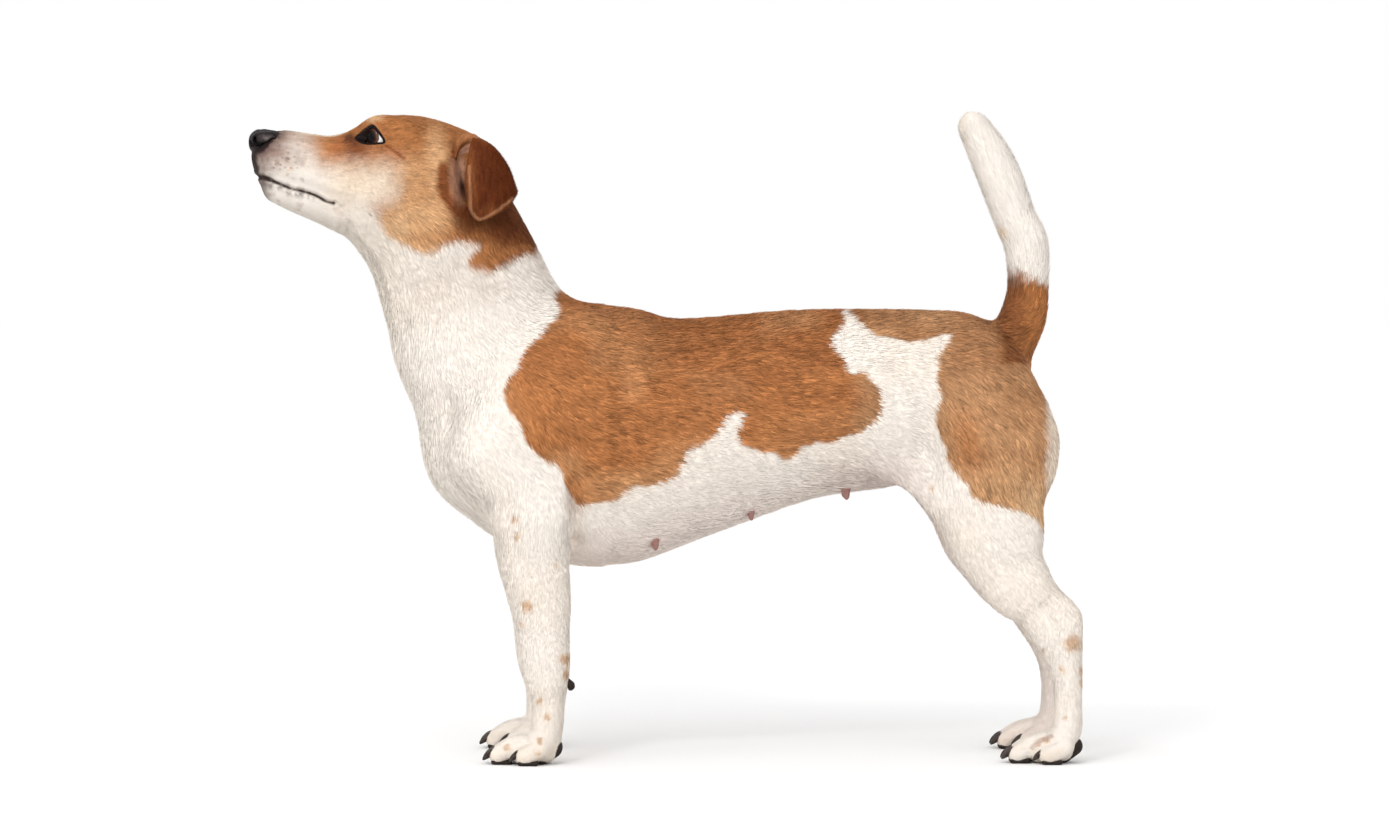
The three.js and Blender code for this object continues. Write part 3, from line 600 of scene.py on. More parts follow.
# ---------------------------------------------------------------- Blender meshes
def new_mesh(name, points, faces):
    """An object in the frame from points in millimetres and faces that all have as many corners."""
    mesh = bpy.data.meshes.new(name)
    faces = np.asarray(faces)
    mesh.vertices.add(len(points))
    mesh.vertices.foreach_set("co", ((points + DRAWING_SHIFT) * MM).astype(np.float32).ravel())
    mesh.loops.add(faces.size)
    mesh.loops.foreach_set("vertex_index", faces.ravel().astype(np.int32))
    mesh.polygons.add(len(faces))
    mesh.polygons.foreach_set("loop_start", np.arange(0, faces.size, faces.shape[1], dtype=np.int32))
    mesh.update(calc_edges=True)
    mesh.polygons.foreach_set("use_smooth", np.ones(len(faces), bool))
    piece = bpy.data.objects.new(name, mesh)
    bpy.context.scene.collection.objects.link(piece)
    return piece


def set_colours(piece, colours):
    layer = piece.data.color_attributes.new("coat", "FLOAT_COLOR", "POINT")
    rgba = np.concatenate([colours, np.ones((len(colours), 1))], 1)
    layer.data.foreach_set("color", rgba.astype(np.float32).ravel())


def fix(piece, material, slot, *nodes):
    """Gives a piece its material and says which solids it stands for."""
    piece.data.materials.append(material)
    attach(piece, BODY)
    if nodes:
        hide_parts(*nodes)
    return piece


def ring_faces(rings, sides):
    """Triangles between rings of points, and over the two ends by the two points that follow the rings."""
    k = np.arange(sides)
    on = (k + 1) % sides
    start = np.arange(rings - 1)[:, None] * sides
    a, b = start + k, start + on
    band = np.stack([a, b, a + sides, b, b + sides, a + sides], -1).reshape(-1, 3)
    end = np.full(sides, rings * sides)
    top = (rings - 1) * sides
    return np.vstack([band, np.stack([end, on, k], 1), np.stack([end + 1, top + k, top + on], 1)])


def rings_round(centre, side, up, sides):
    """Points of the rings that side and up span about each centre, ring by ring."""
    angle = 2 * np.pi * np.arange(sides) / sides
    ring = np.cos(angle)[:, None, None] * side + np.sin(angle)[:, None, None] * up
    return (centre + ring).transpose(1, 0, 2).reshape(-1, 3)


def loft(balls, sides, steps):
    """A closed round tube with tapered ends over balls [x, y, z, radius]."""
    rows = smooth_line(balls, steps)
    centre, radius = rows[:, :3], rows[:, 3:]
    along = unit(np.gradient(centre, axis=0))
    hint = [0, 1, 0] if abs(along[0, 1]) < 0.8 else [0, 0, 1]
    side = unit(np.cross(hint, along))
    points = rings_round(centre, side * radius, np.cross(along, side) * radius, sides)
    past = 0.6 * along * radius
    return np.vstack([points, centre[0] - past[0], centre[-1] + past[-1]]), ring_faces(len(rows), sides)


def merged(parts):
    """Several (points, faces) as one."""
    starts = np.cumsum([0] + [len(points) for points, _ in parts[:-1]])
    return (np.vstack([points for points, _ in parts]),
            np.vstack([faces + start for (_, faces), start in zip(parts, starts)]))


# ---------------------------------------------------------------- noise
def lattice(cells, seed):
    x, y, z = (cells[:, k].astype(np.uint64) for k in range(3))
    n = x * np.uint64(73856093) ^ y * np.uint64(19349663) ^ z * np.uint64(83492791)
    n = (n ^ np.uint64(seed * 7919 + 17)) * np.uint64(1274126177)
    n = (n ^ (n >> np.uint64(15))) * np.uint64(2246822519)
    return ((n >> np.uint64(9)) & np.uint64(0xFFFF)).astype(float) / 0xFFFF


def noise(p, size, seed):
    """Smooth noise from -1 to 1 with cells of a given size."""
    q = p / np.asarray(size, float) + 4096
    base = np.floor(q)
    f = q - base
    f = f * f * (3 - 2 * f)
    total = np.zeros(len(p))
    for corner in np.ndindex(2, 2, 2):
        weight = np.prod(np.where(corner, f, 1 - f), axis=1)
        total += weight * lattice((base + corner).astype(np.int64), seed)
    return total * 2 - 1


# ---------------------------------------------------------------- markings, and painted shade
def linear(r, g, b):
    """A colour given from 0 to 255 as a screen shows it."""
    c = np.array([r, g, b]) / 255
    return np.where(c <= 0.04045, c / 12.92, ((c + 0.055) / 1.055) ** 2.4)


LIGHT = 1.1  # what the stage lights bring to a surface that faces the camera


def tone(r, g, b):
    """The colour that shows as this one, from 0 to 255, in the stage's light."""
    return linear(r, g, b) / LIGHT


WHITE = tone(247, 238, 228)
CREAM = tone(237, 215, 189)
BELLY = tone(245, 231, 222)
SADDLE = tone(180, 117, 70)
SADDLE_DARK = tone(138, 83, 47)
SADDLE_LIGHT = tone(214, 166, 120)
RUMP = tone(186, 139, 99)
TAIL_ROOT = tone(128, 76, 42)
TAIL_REAR = tone(176, 114, 66)
CROWN = tone(170, 110, 65)
CHEEK_TAN = tone(218, 170, 124)
FACE_TAN = tone(206, 157, 112)
PALE_TAN = tone(230, 190, 147)
BRIDGE_TAN = tone(192, 133, 88)
BRIDGE_DARK = tone(168, 102, 60)
BRIDGE_PINK = tone(206, 182, 164)
UNDER_EYE = tone(184, 122, 84)
EYE_SHADE = tone(136, 76, 42)
# painted shade in the eye's inner corner
EYE_CORNER_SHADE = tone(88, 50, 34)
EAR_BROWN = tone(102, 49, 21)
EAR_FRONT = tone(146, 84, 46)
EAR_BORDER = tone(184, 130, 92)
EAR_INSIDE = tone(216, 162, 134)
# painted shade: in the hollow of the ear and under its flap
EAR_SHADE = tone(70, 40, 34)
NAPE_BROWN = tone(104, 56, 28)
NAPE_EDGE = tone(170, 112, 68)
CRESCENT_BROWN = tone(124, 66, 32)
BLACK_SKIN = tone(38, 28, 27)
NOSE_EDGE = tone(112, 88, 80)
LIP_BLACK = tone(62, 48, 44)
SPOT_BROWN = tone(118, 96, 86)
PINK_SKIN = tone(162, 134, 122)
CHIN_GREY = tone(122, 104, 96)
JAW_SHADE = tone(230, 218, 204)
FRECKLE = tone(204, 164, 128)
TEAT_PINK = tone(172, 126, 118)
# painted pinkish shade in creases and between toes
CREASE_SHADE = tone(196, 172, 160)
# painted shade in the groin
GROIN_SHADE = tone(210, 190, 182)
NECK_SHADE = tone(206, 192, 178)

SADDLE_LEFT = [  # outline in x and z on her left side
    [-53, 283], [-64, 268], [-73, 257], [-84, 244], [-91, 231], [-95, 222], [-94, 213], [-91, 206],
    [-84, 191], [-75, 181], [-64, 175], [-57, 161], [-52, 153], [-35, 156], [-22, 162], [-7, 166],
    [7, 171], [13, 184], [19, 187], [30, 196], [38, 207], [46, 206], [41, 195], [46, 188], [64, 182],
    [70, 178], [80, 185], [101, 192], [119, 200], [126, 205], [127, 212], [123, 222], [116, 232],
    [109, 230], [103, 239], [97, 247], [98, 283],
]
SADDLE_RIGHT = [
    [-53, 283], [-62, 264], [-72, 246], [-78, 226], [-72, 208], [-60, 194], [-40, 186], [-20, 178],
    [2, 182], [18, 192], [34, 186], [52, 190], [66, 204], [84, 208], [104, 204], [122, 214], [128, 228],
    [114, 240], [97, 249], [98, 283],
]
RUMP_LEFT = [
    [108, 283], [111, 266], [119, 257], [128, 251], [150, 249], [166, 252], [162, 243], [158, 227],
    [161, 215], [157, 209], [160, 195], [165, 179], [175, 166], [180, 157], [196, 153], [218, 144],
    [224, 138], [250, 150], [262, 200], [240, 270], [205, 283],
]
RUMP_RIGHT = [
    [108, 283], [114, 262], [126, 252], [140, 240], [146, 222], [156, 206], [170, 192], [186, 178],
    [202, 168], [216, 150], [250, 150], [262, 200], [240, 270], [205, 283],
]
HOOD_EDGE = [  # lower edge of the brown hood, in x and z, from the throat to the nape
    [-176, 328], [-174, 318], [-171, 312], [-163, 306.6], [-155, 302.7], [-149, 300.6], [-141, 302.7],
    [-134, 305.6], [-126, 306.6], [-117, 305], [-121, 300], [-123, 294], [-118, 290.4], [-110, 291.6],
    [-103, 292.4], [-94, 297.7], [-86, 300.6], [-78, 305],
]
HOOD = HOOD_EDGE + [
    [-60, 330], [-90, 400], [-190, 400], [-224, 390], [-219, 372.6], [-215, 362.5], [-211.6, 356],
    [-206, 352.6], [-194, 352.4], [-181, 353], [-171, 353], [-167, 349], [-164, 341], [-167, 334],
]
WHISKER_SPOTS = [  # x and z in the head's frame; the last two are a mole on the cheek
    [-227.9, 360.7], [-224.2, 358.3], [-227.6, 356.9], [-231.2, 357.6], [-223.6, 354.9], [-232.5, 353.3],
    [-229.4, 351.8], [-226.1, 351.5], [-222.7, 351.5], [-235.4, 353.7], [-238.1, 353.9], [-232.7, 350.8],
    [-236.3, 351.8], [-180.2, 324.3], [-179.5, 323.5],
]
# Soft marks on the head: x, z, half length, half height, colour, strength
HOOD_MARKS = [
    (-141, 353, 8, 24, CHEEK_TAN, 0.9), (-156, 346, 10, 14, FACE_TAN, 0.85),
    (-152, 322, 22, 14, CHEEK_TAN, 0.9), (-152, 303, 14, 6, CHEEK_TAN, 0.8),
    (-166, 312, 9, 14, PALE_TAN, 0.6), (-205, 366, 12, 12, BRIDGE_TAN, 0.9),
    (-197, 364.5, 8, 7, BRIDGE_DARK, 0.85), (-183, 362, 11, 6, UNDER_EYE, 0.8),
    # painted shade under the eye and in its inner corner
    (-188, 360.5, 6, 7, EYE_SHADE, 0.95), (-190.5, 368.2, 4.5, 4, EYE_CORNER_SHADE, 0.85),
    (-166, 360.5, 6, 3, UNDER_EYE, 0.7), (-214, 374, 7, 5, BRIDGE_PINK, 0.5),
    (-179, 384, 8, 4, PALE_TAN, 0.8),
]
NAPE_MARKS = [
    (-98, 318, 20, 22, NAPE_BROWN, 1.0), (-122, 321, 9, 10, NAPE_BROWN, 0.9),
    (-112, 300, 14, 8, NAPE_EDGE, 0.8), (-90, 302, 12, 6, NAPE_EDGE, 0.7),
    # the last is a painted shadow under the ear's flap
    (-125, 326, 4.5, 4, EAR_SHADE, 0.9),
]
EAR_MARKS = [
    (-122, 345, 4, 20, EAR_FRONT, 0.8), (-108, 325, 10, 5, EAR_FRONT, 0.6),
    (-110, 370, 8, 4, EAR_FRONT, 0.7),
]
EAR_LOWER_EDGE = [
    [-122.6, 352], [-122.3, 330], [-121, 325], [-116.5, 320.8], [-109, 324.5], [-102, 329.3],
    [-97, 333.4],
]
CRESCENT = [[-137.5, 350.5], [-137.5, 343], [-136, 335.5], [-132, 329.5], [-126, 325]]  # before the ear
LID_CREASE = [[-170.7, 364.6], [-165.3, 360.5], [-160.5, 356.4]]
THROAT_CREASES = [
    [[-196, 328.8], [-188.9, 318.7], [-175.2, 299.1], [-172.3, 293.1]],
    [[-169.3, 283], [-164.5, 274]],
]
WEB = [[214.5, 9.5], [226.5, 17]]  # bare skin between her left hind foot's toes
FRECKLES = [  # x, z, radius on her left side
    [-90, 145, 2.2], [-88, 135, 2], [-82, 95, 4], [-87, 84, 1.8], [-76, 38, 1.8], [-71, 29, 2.2],
    [-93, 9, 1.8], [-75, 15, 2.2], [-77, 9, 1.6], [239, 72, 6], [244, 56, 3], [222, 65, 1.4],
    [231, 57, 1.6], [228, 35, 1.6], [235, 28, 1.6], [157, 162, 1.6], [-64, 118, 1.2], [-100, 120, 1.2],
    [-60, 62, 5], [-61, 52, 3], [244.5, 49, 3], [223, 14, 2.6], [219, 11, 2],
]


def painted(base, *layers):
    """A colour under layers of other colours, each with the share of it that covers every point."""
    for colour, share in layers:
        base = base + (colour - base) * np.clip(share, 0, 1)[:, None]
    return base


def frayed(q, p, size, reach, seed):
    """Places in x and z shifted by noise, so that an outline drawn there is ragged."""
    return q + np.stack([noise(p, size, seed), noise(p, size, seed + 1)], 1) * reach


def spot(q, x, z, long, high, power=1):
    """1 at a place in x and z, fading out beyond its half length and half height."""
    return np.exp(-((((q[:, 0] - x) / long) ** 2 + ((q[:, 1] - z) / high) ** 2) ** power))


def dot(q, x, z, reach, core):
    """A round mark, full within its core and gone at its reach."""
    return smooth_step(np.hypot(q[:, 0] - x, q[:, 1] - z), reach, core)


def streak(line, q, reach, core):
    """A mark along a line, full within its core and gone at its reach."""
    return smooth_step(line_distance(smooth_line(line, 3), q), reach, core)


def soft_marks(marks, q):
    """Layers of a table of soft marks."""
    return [(colour, strength * spot(q, *place, power=1.5)) for *place, colour, strength in marks]


def patch(outline, q, soft=1.4):
    """1 inside an outline and 0 outside it."""
    return smooth_step(outline_distance(closed_outline(outline, 3), q), soft, -soft)


def tan_colour(p, q):
    """Saddle and rump: browner along the back, paler below."""
    on_rump = ramp(p, 0, 104, 120)
    back = ramp(p, 2, 205, 258) * (0.85 - 0.65 * on_rump) + 0.3 * ramp(p, 0, -60, 10)
    shade = (back + 0.5 * noise(p, [30, 16, 12], 5)).clip(0, 1)
    light = (ramp(p, 2, 200, 165) * 0.6 + 0.5 * noise(p, 20, 6)).clip(0, 1)
    return painted(
        SADDLE,
        (RUMP, on_rump),
        (SADDLE, spot(q, 176, 189, 9, 17) * 0.7),
        (SADDLE_DARK, shade * 0.6),
        (SADDLE_LIGHT, light * 0.6),
        (PALE_TAN, ramp(p, 2, 178, 150) * ramp(p, 0, 198, 216) * 0.6),
    )


def body_colour(p):
    q = frayed(frayed(p[:, [0, 2]], p, 11, 2.2, 1), p, 3, 1.0, 3)
    left = ramp(p, 1, 5, -5)
    on_left = p[:, 1] < 0
    saddle = patch(SADDLE_LEFT, q) * left + patch(SADDLE_RIGHT, q) * (1 - left)
    rump = patch(RUMP_LEFT, q) * left + patch(RUMP_RIGHT, q) * (1 - left)
    pale_rear = ramp(q, 0, 221, 227) * ramp(q, 1, 156, 166) * ramp(q, 1, 224, 208)
    under = ramp(p, 2, 175, 138) * smooth_step(np.abs(p[:, 1]), 52, 26) * (p[:, 0] > -60)
    # painted shade in the groin, before the thigh
    groin_shade = spot(q, 122, 168, 30, 11) * (q[:, 1] < 190) * (1 - np.maximum(saddle, rump))
    neck = spot(q, -118, 284, 30, 18) * (0.7 + 0.5 * noise(p, 12, 24)).clip(0, 1)
    toes = ramp(p, 2, 16, 6) * (0.25 + 0.3 * noise(p, 5, 18))
    # painted shade along the throat's creases
    creases = [streak(line, q, 2.6, 0.6) * (p[:, 0] < -140) for line in THROAT_CREASES]
    freckles = [dot(q, x, z, radius * 1.3, radius * 0.5) * on_left for x, z, radius in FRECKLES]
    return painted(
        WHITE,
        (BELLY, under),
        (CREAM, 0.12 + 0.16 * noise(p, 34, 17)),
        (CREAM, pale_rear * 0.6),
        (tan_colour(p, q), np.maximum(saddle, rump * (1 - 0.85 * pale_rear))),
        *[(CREASE_SHADE, crease * 0.5) for crease in creases],
        (GROIN_SHADE, groin_shade * 0.7),
        (NECK_SHADE, neck * 0.8),
        # painted shade in the fold behind the elbow
        (SADDLE_DARK, spot(q, -54, 156, 5, 8) * on_left * 0.45),  # behind the elbow
        *[(FRECKLE, freckle * 0.85) for freckle in freckles],
        # painted shade with bare skin between the toes of her left hind foot
        (CREASE_SHADE, streak(WEB, q, 2.2, 0.6) * (p[:, 1] < -HIND_Y) * 0.8),
        (CREAM, toes),
    )


def tail_colour(colour, p):
    edge = p[:, 2] + 0.35 * (p[:, 0] - 214) + 3 * noise(p, 5, 7)
    on = (p[:, 0] > 180) & (p[:, 2] > 236)
    brown = smooth_step(edge, 291, 283) * ramp(p, 0, 192, 202) * on
    rear = smooth_step(p[:, 0] + 0.3 * noise(p, 6, 25), 206, 220)
    return painted(
        colour,
        (WHITE, smooth_step(edge, 284, 292) * on),
        (TAIL_ROOT, brown * 0.9),
        (TAIL_REAR, brown * rear * 0.8),
        (CREAM, dot(p[:, [0, 2]], 200, 313, 5, 2) * on * 0.8),
    )


def hood_colour(plain, q):
    """The brown of crown, cheeks and nape, with painted shade by the eye and under the ear."""
    return painted(
        CROWN,
        (NAPE_BROWN, ramp(q, 0, -112, -98) * 0.9),
        *soft_marks(HOOD_MARKS + NAPE_MARKS, q),
        (CRESCENT_BROWN, streak(CRESCENT, q, 6.2, 1.5) * 0.95),
        (EYE_SHADE, streak(LID_CREASE, plain, 1.4, 0.4) * 0.8),
    )


def muzzle_colour(colour, p, h, q):
    """Dark and pink skin about the nose and the lips, and the whiskers' roots."""
    plain = h[:, [0, 2]]
    pink = spot(q, -235, 361, 12, 9) + 0.5 * np.maximum(noise(p, 3, 15), 0) * (q[:, 0] < -218)
    tip = ramp(q, 0, -232, -248) * ramp(q, 1, 336, 346) * (0.8 + 0.4 * noise(p, 2.2, 19)).clip(0, 1)
    by_nose = 0.8 * noise(p, 2.5, 12) - chain_distance(NOSE, h)
    front = ramp(q, 0, -240.5, -246) * ramp(q, 1, 343, 350) * smooth_step(np.abs(h[:, 1]), 11, 7)
    lips = line_distance(LIPS, plain)
    wide = 1 + 1.4 * ramp(q, 0, -232, -244)
    hairs = np.maximum(noise(p * [1, 1, 0.2], 1.6, 13), 0)
    below = smooth_step(plain[:, 1] + 0.32 * (plain[:, 0] + 249), 347.6, 346) * smooth_step(lips, 6.5, 0.5)
    below *= ramp(q, 0, -206, -222) * smooth_step(noise(p * [1, 1, 0.3], 1.5, 14), -0.15, 0.4)
    roots = np.max([dot(plain, *place, 0.7, 0.3) for place in WHISKER_SPOTS], 0)
    speckle = smooth_step(noise(p, 1.4, 16), 0.35, 0.6) * spot(q, -229, 349, 6, 4)
    return painted(
        colour,
        (PINK_SKIN, pink),
        (CHIN_GREY, tip),
        (CHIN_GREY, ramp(q, 0, -234, -243) * ramp(q, 1, 347, 344) * 0.8),
        (NOSE_EDGE, smooth_step(by_nose, -7.5, -1.2) * 0.85),
        (BLACK_SKIN, smooth_step(by_nose, -2.4, -0.6)),
        (BLACK_SKIN, front * 0.85),
        (LIP_BLACK, smooth_step(lips / wide, 1.1, 0.35) * (1 - 0.9 * hairs)),
        # dark lip skin with painted shade under the upper lip, in streaks
        (LIP_BLACK, below * 0.7),
        (SPOT_BROWN, roots * 0.7),
        (FRECKLE, speckle * 0.6),
    )


def head_colour(colour, p, h):
    """Markings of the head, the same on both halves; h is in the left half."""
    plain = h[:, [0, 2]]
    q = frayed(frayed(plain, p, 7, 1.6, 8), p, 2, 0.8, 10)
    face = ramp(q, 0, -150, -162) * ramp(q, 1, 316, 330)
    inside = -outline_distance(closed_outline(HOOD, 3), q)
    hood = smooth_step(inside / (3.0 + 8.0 * face), -1, 1)
    blaze = ramp(h, 1, -6.5, -3.5) * ramp(q, 1, 356, 366) * ramp(q, 0, -150, -172)
    near_eye = np.linalg.norm(h - EYE, axis=1) < 17
    colour = painted(
        colour,
        (JAW_SHADE, ramp(q, 1, 338, 316) * ramp(q, 0, -150, -176) * 0.7),
        (CREAM, ramp(q, 0, -214, -190) * ramp(q, 0, -148, -168) * ramp(q, 1, 322, 342) * 0.85),
        (hood_colour(plain, q), hood),
        (CREAM, blaze * 0.85),
        (BRIDGE_PINK, ramp(q, 0, -216, -226) * ramp(q, 1, 364, 369) * 0.8),
    )
    return painted(
        muzzle_colour(colour, p, h, q),
        (BLACK_SKIN, smooth_step(outline_distance(OPENING, plain), 1.4, 0.5) * near_eye),
        (EAR_INSIDE, spot(plain, -128.3, 346, 5.4, 15, 2) * 0.9),
        # painted shade in the hollow of the ear
        (EAR_SHADE, spot(plain, -125.6, 340, 2.6, 6) * 0.9),
    )


def ear_colour(q, side):
    """The leather of the ear: brown hair outside, thin hair over pink skin inside."""
    plain = q[:, [0, 2]]
    border = streak(EAR_LOWER_EDGE, plain, 1.4, 0.3)
    outer = painted(EAR_BROWN, *soft_marks(EAR_MARKS, plain), (EAR_BORDER, border * 0.75))
    return np.where((side > 0)[:, None], outer, EAR_INSIDE)


def at_teat(p, teat):
    """Places beside a teat as seen from below, both sides as one; nothing above the belly counts."""
    x, y, _ = teat
    return np.hypot(p[:, 0] - x, np.abs(p[:, 1]) + y) + FAR * (p[:, 2] >= BELLY_TOP)


def coat_colour(p):
    """The colour of skin and coat at points of the skin."""
    colour = tail_colour(body_colour(p), p)
    h = to_left_half(to_head(p))
    near = (box_gap(h, HEAD_BOX) < 30) & (p[:, 0] < HEAD_REAR + 2)
    colour[near] = head_colour(colour[near], p[near], h[near])
    by_ear = np.nonzero(box_gap(h, EAR_BOX) < 1)[0]
    leather, side = ear_distance(h[by_ear])
    on_ear = leather < 0.8
    by_ear, side = by_ear[on_ear], side[on_ear]
    colour[by_ear] = ear_colour(h[by_ear], side)
    curl = (box_gap(h, EAR_BOX) < 8) & (chain_distance(EAR_CURL, h) < 1.2)
    colour[curl] = painted(EAR_FRONT, (BRIDGE_TAN, ramp(h[curl], 2, 360, 370) * 0.6))
    return painted(colour, *[(TEAT_PINK, smooth_step(at_teat(p, teat), 5.5, 2.5) * 0.5) for teat in TEATS])


# ---------------------------------------------------------------- the lie of the coat
LIE = [  # place on her left side and the direction in which the hair lies there
    [-240, -10, 360, 1, -0.3, -0.1], [-238, -4, 372, 1, 0, 0.1], [-222, -14, 352, 1, -0.1, -0.25],
    [-222, -4, 372, 1, -0.1, 0], [-205, -15, 345, 1, -0.1, -0.35], [-205, -8, 369, 1, -0.3, 0.05],
    [-192, -6, 373, 0.8, -0.1, 0.6], [-190, -18, 358, 1, -0.2, -0.3], [-176, -24, 360, 1, 0, -0.35],
    [-180, -14, 382, 0.8, -0.1, 0.5], [-172, -24, 380, 1, -0.1, 0.15], [-160, -30, 366, 1, 0, -0.1],
    [-150, -10, 383, 1, 0, 0.05], [-150, -28, 372, 1, 0, 0], [-130, -10, 378, 1, 0, -0.25],
    [-178, -22, 338, 1, 0, -0.45], [-160, -34, 345, 1, 0, -0.3], [-160, -34, 325, 0.9, 0, -0.45],
    [-140, -36, 340, 0.9, 0, -0.4], [-145, -36, 318, 0.8, 0, -0.6], [-225, -8, 332, 1, 0, -0.2],
    [-200, -10, 318, 1, 0, -0.45], [-180, -10, 305, 0.8, 0, -0.7], [-165, -20, 300, 0.6, 0, -0.9],
    [-115, -15, 368, 0.9, 0, -0.6], [-100, -15, 345, 0.6, 0, -0.85], [-125, -38, 305, 0.5, 0, -1],
    [-95, -30, 310, 0.55, 0, -0.9], [-84, -5, 305, 0.6, 0, -0.85], [-160, -15, 265, 0.3, 0, -1],
    [-140, -35, 265, 0.35, 0, -1], [-110, -40, 265, 0.5, 0, -0.9], [-75, -15, 275, 0.9, 0, -0.6],
    [-150, -10, 215, 0.25, 0, -1], [-135, -30, 200, 0.3, 0, -1], [-105, -50, 215, 0.55, 0, -0.9],
    [-120, -15, 160, 0.6, 0, -0.8], [-70, -50, 235, 0.9, 0, -0.6], [-75, -58, 190, 0.6, 0, -0.85],
    [-50, -10, 275, 1, 0, -0.1], [-20, -10, 268, 1, 0, 0], [-30, -58, 210, 1, 0, -0.3],
    [-30, -55, 165, 1, 0, -0.25], [-20, -20, 122, 1, 0, 0.05], [30, -10, 266, 1, 0, 0],
    [30, -55, 205, 1, 0, -0.22], [30, -45, 165, 1, 0, -0.25], [40, -20, 140, 1, 0, 0.15],
    [90, -10, 268, 1, 0, 0], [90, -45, 215, 1, 0, -0.25], [90, -38, 178, 1, 0, -0.15],
    [100, -15, 156, 1, 0, 0.1], [135, -35, 200, 0.9, 0, -0.45], [140, -28, 165, 0.8, 0, -0.6],
    [150, -10, 270, 1, 0, -0.05], [180, -25, 250, 0.9, 0, -0.4], [175, -48, 205, 0.7, 0, -0.7],
    [200, -5, 258, 0.8, 0, -0.3], [210, -30, 215, 0.6, 0, -0.8], [222, -10, 190, 0.2, 0.2, -1],
    [165, -45, 165, 0.6, 0, -0.8], [195, -48, 150, 0.4, 0, -0.9], [222, -30, 150, 0.1, 0, -1],
    [170, -40, 130, 0.5, 0, -0.85], [200, -45, 110, 0.6, 0, -0.8], [240, -42, 85, 0, 0, -1],
    [232, -48, 55, 0, 0, -1], [228, -42, 25, -0.3, 0, -1], [212, -42, 10, -1, 0, -0.4],
    [-80, -60, 145, 0.1, 0, -1], [-58, -47, 130, 0.15, 0, -1], [-90, -47, 125, 0.1, 0, -1],
    [-74, -55, 90, 0, 0, -1], [-74, -38, 60, 0, 0, -1], [-76, -47, 30, -0.15, 0, -1],
    [-84, -47, 18, -0.6, 0, -0.8], [-98, -47, 8, -1, 0, -0.4], [206, 0, 250, 0.4, 0, 0.9],
    [216, 0, 280, 0.1, 0, 1], [214, 0, 305, -0.2, 0, 1], [205, 0, 330, -0.4, 0, 1],
    [192, 0, 355, -0.5, 0, 1], [184, 0, 376, -0.45, 0, 1],
]


EAR_LIE = np.array([-0.35, -0.1, -1.0])
EAR_PULL = 20  # how much stronger the lie on the ear's flap is than what lies around it


def lie_at(p, normal):
    """The direction in which the hair lies, along the skin."""
    left = to_left_half(p)
    guides = np.array(LIE)
    direction = np.zeros((len(p), 3))
    for place, way in zip(guides[:, :3], unit(guides[:, 3:])):
        near = ((left - place) ** 2).sum(1) + 30
        direction += way / near[:, None] ** 2
    direction[:, 1] *= np.where(p[:, 1] > 0, -1, 1)
    on_ear = smooth_step(box_gap(to_left_half(to_head(p)), (EAR_BOX[0] + 3, EAR_BOX[1] - 3)), 3, 0)
    direction += (EAR_PULL * on_ear * np.linalg.norm(direction, axis=1))[:, None] * EAR_LIE
    return along_skin(direction, normal)


def along_skin(way, normal):
    """Directions turned into the plane of the skin."""
    return unit(way - normal * (way * normal).sum(1)[:, None])


# ---------------------------------------------------------------- tufts
def hair_size(p):
    """Length and width of a tuft rooted at points of the skin."""
    h = to_head(p)
    half = to_left_half(h)
    head = headness(p)
    by_eye = smooth_step(outline_distance(OPENING, half[:, [0, 2]]), 7, 1.5)
    by_ear = (1 - np.minimum(box_gap(half, EAR_BOX), 4) / 4) * (p[:, 0] < HEAD_REAR)
    length = 6.2 + 0.6 * noise(p, 30, 21)
    width = np.full(len(p), 0.9)
    for share, long, wide in (
        (ramp(p, 0, -60, -100), 6.4, 0.85),  # throat
        (ramp(p, 2, 160, 100), 4.4, 0.7),
        (ramp(p, 2, 42, 18), 2.4, 0.45),
        (head, 3.2, 0.5),
        (head * ramp(h, 0, -180, -215), 1.9, 0.34),
        (by_ear, 1.6, 0.36),
        (by_eye * (np.linalg.norm(half - EYE, axis=1) < 24), 1.3, 0.28),
        (ramp(p, 2, 258, 285) * (p[:, 0] > TAIL_FRONT), 7.5, 0.65),
        (ramp(p, 2, 368, 380), 3.2, 0.55),
    ):
        length = length + (long - length) * share
        width = width + (wide - width) * share
    return length, width


COVER = 2.25  # how many tufts lie over each other
MOST_TUFTS = 365000
SINK = 0.15  # how deep a tuft's base sits in the skin
LIFT = (0.3, 0.85)  # how high the tips lie, as shares of the coat's depth
RIDGE_PLACE = 0.3  # as a share of the way to the tip
RIDGE_HEIGHT = 0.35  # over the line from base to tip, as a share of the base's half width
TUFT_CORNERS = 4  # left and right of the base, the ridge and the tip
TUFT_FACES = np.array([[0, 3, 2], [1, 2, 3], [0, 1, 3], [0, 2, 1]])
INSET = 0.2  # how far the tufts keep inside the solids' box
LOWEST, HIGHEST = np.array(CAD_BOX) / MM - DRAWING_SHIFT + [[INSET, INSET, FLOOR_GAP], [-INSET] * 3]


def tuft_roots(rng, points, faces, cover):
    """Even random places on the skin, denser where tufts are small: the face, and shares of its corners."""
    a, b, c, d = (points[faces[:, k]] for k in range(4))
    middle = (a + b + c + d) / 4
    area = np.linalg.norm([np.cross(b - a, c - a), np.cross(c - a, d - a)], axis=2).sum(0) / 2
    length, width = hair_size(middle)
    wanted = area * cover / (0.5 * length * width) * coated(middle)
    total = np.cumsum(wanted)
    count = min(int(total[-1]), MOST_TUFTS)
    print("tufts wanted", int(total[-1]), "made", count)
    place = (np.arange(count) + rng.random(count)) / count * total[-1]
    face = np.searchsorted(total, place).clip(0, len(faces) - 1)
    u, v = rng.random((2, count, 1))
    shares = np.stack([(1 - u) * (1 - v), u * (1 - v), u * v, (1 - u) * v], 1)
    return faces[face], shares


def at_roots(values, roots):
    corners, shares = roots
    return (values[corners] * shares).sum(1)


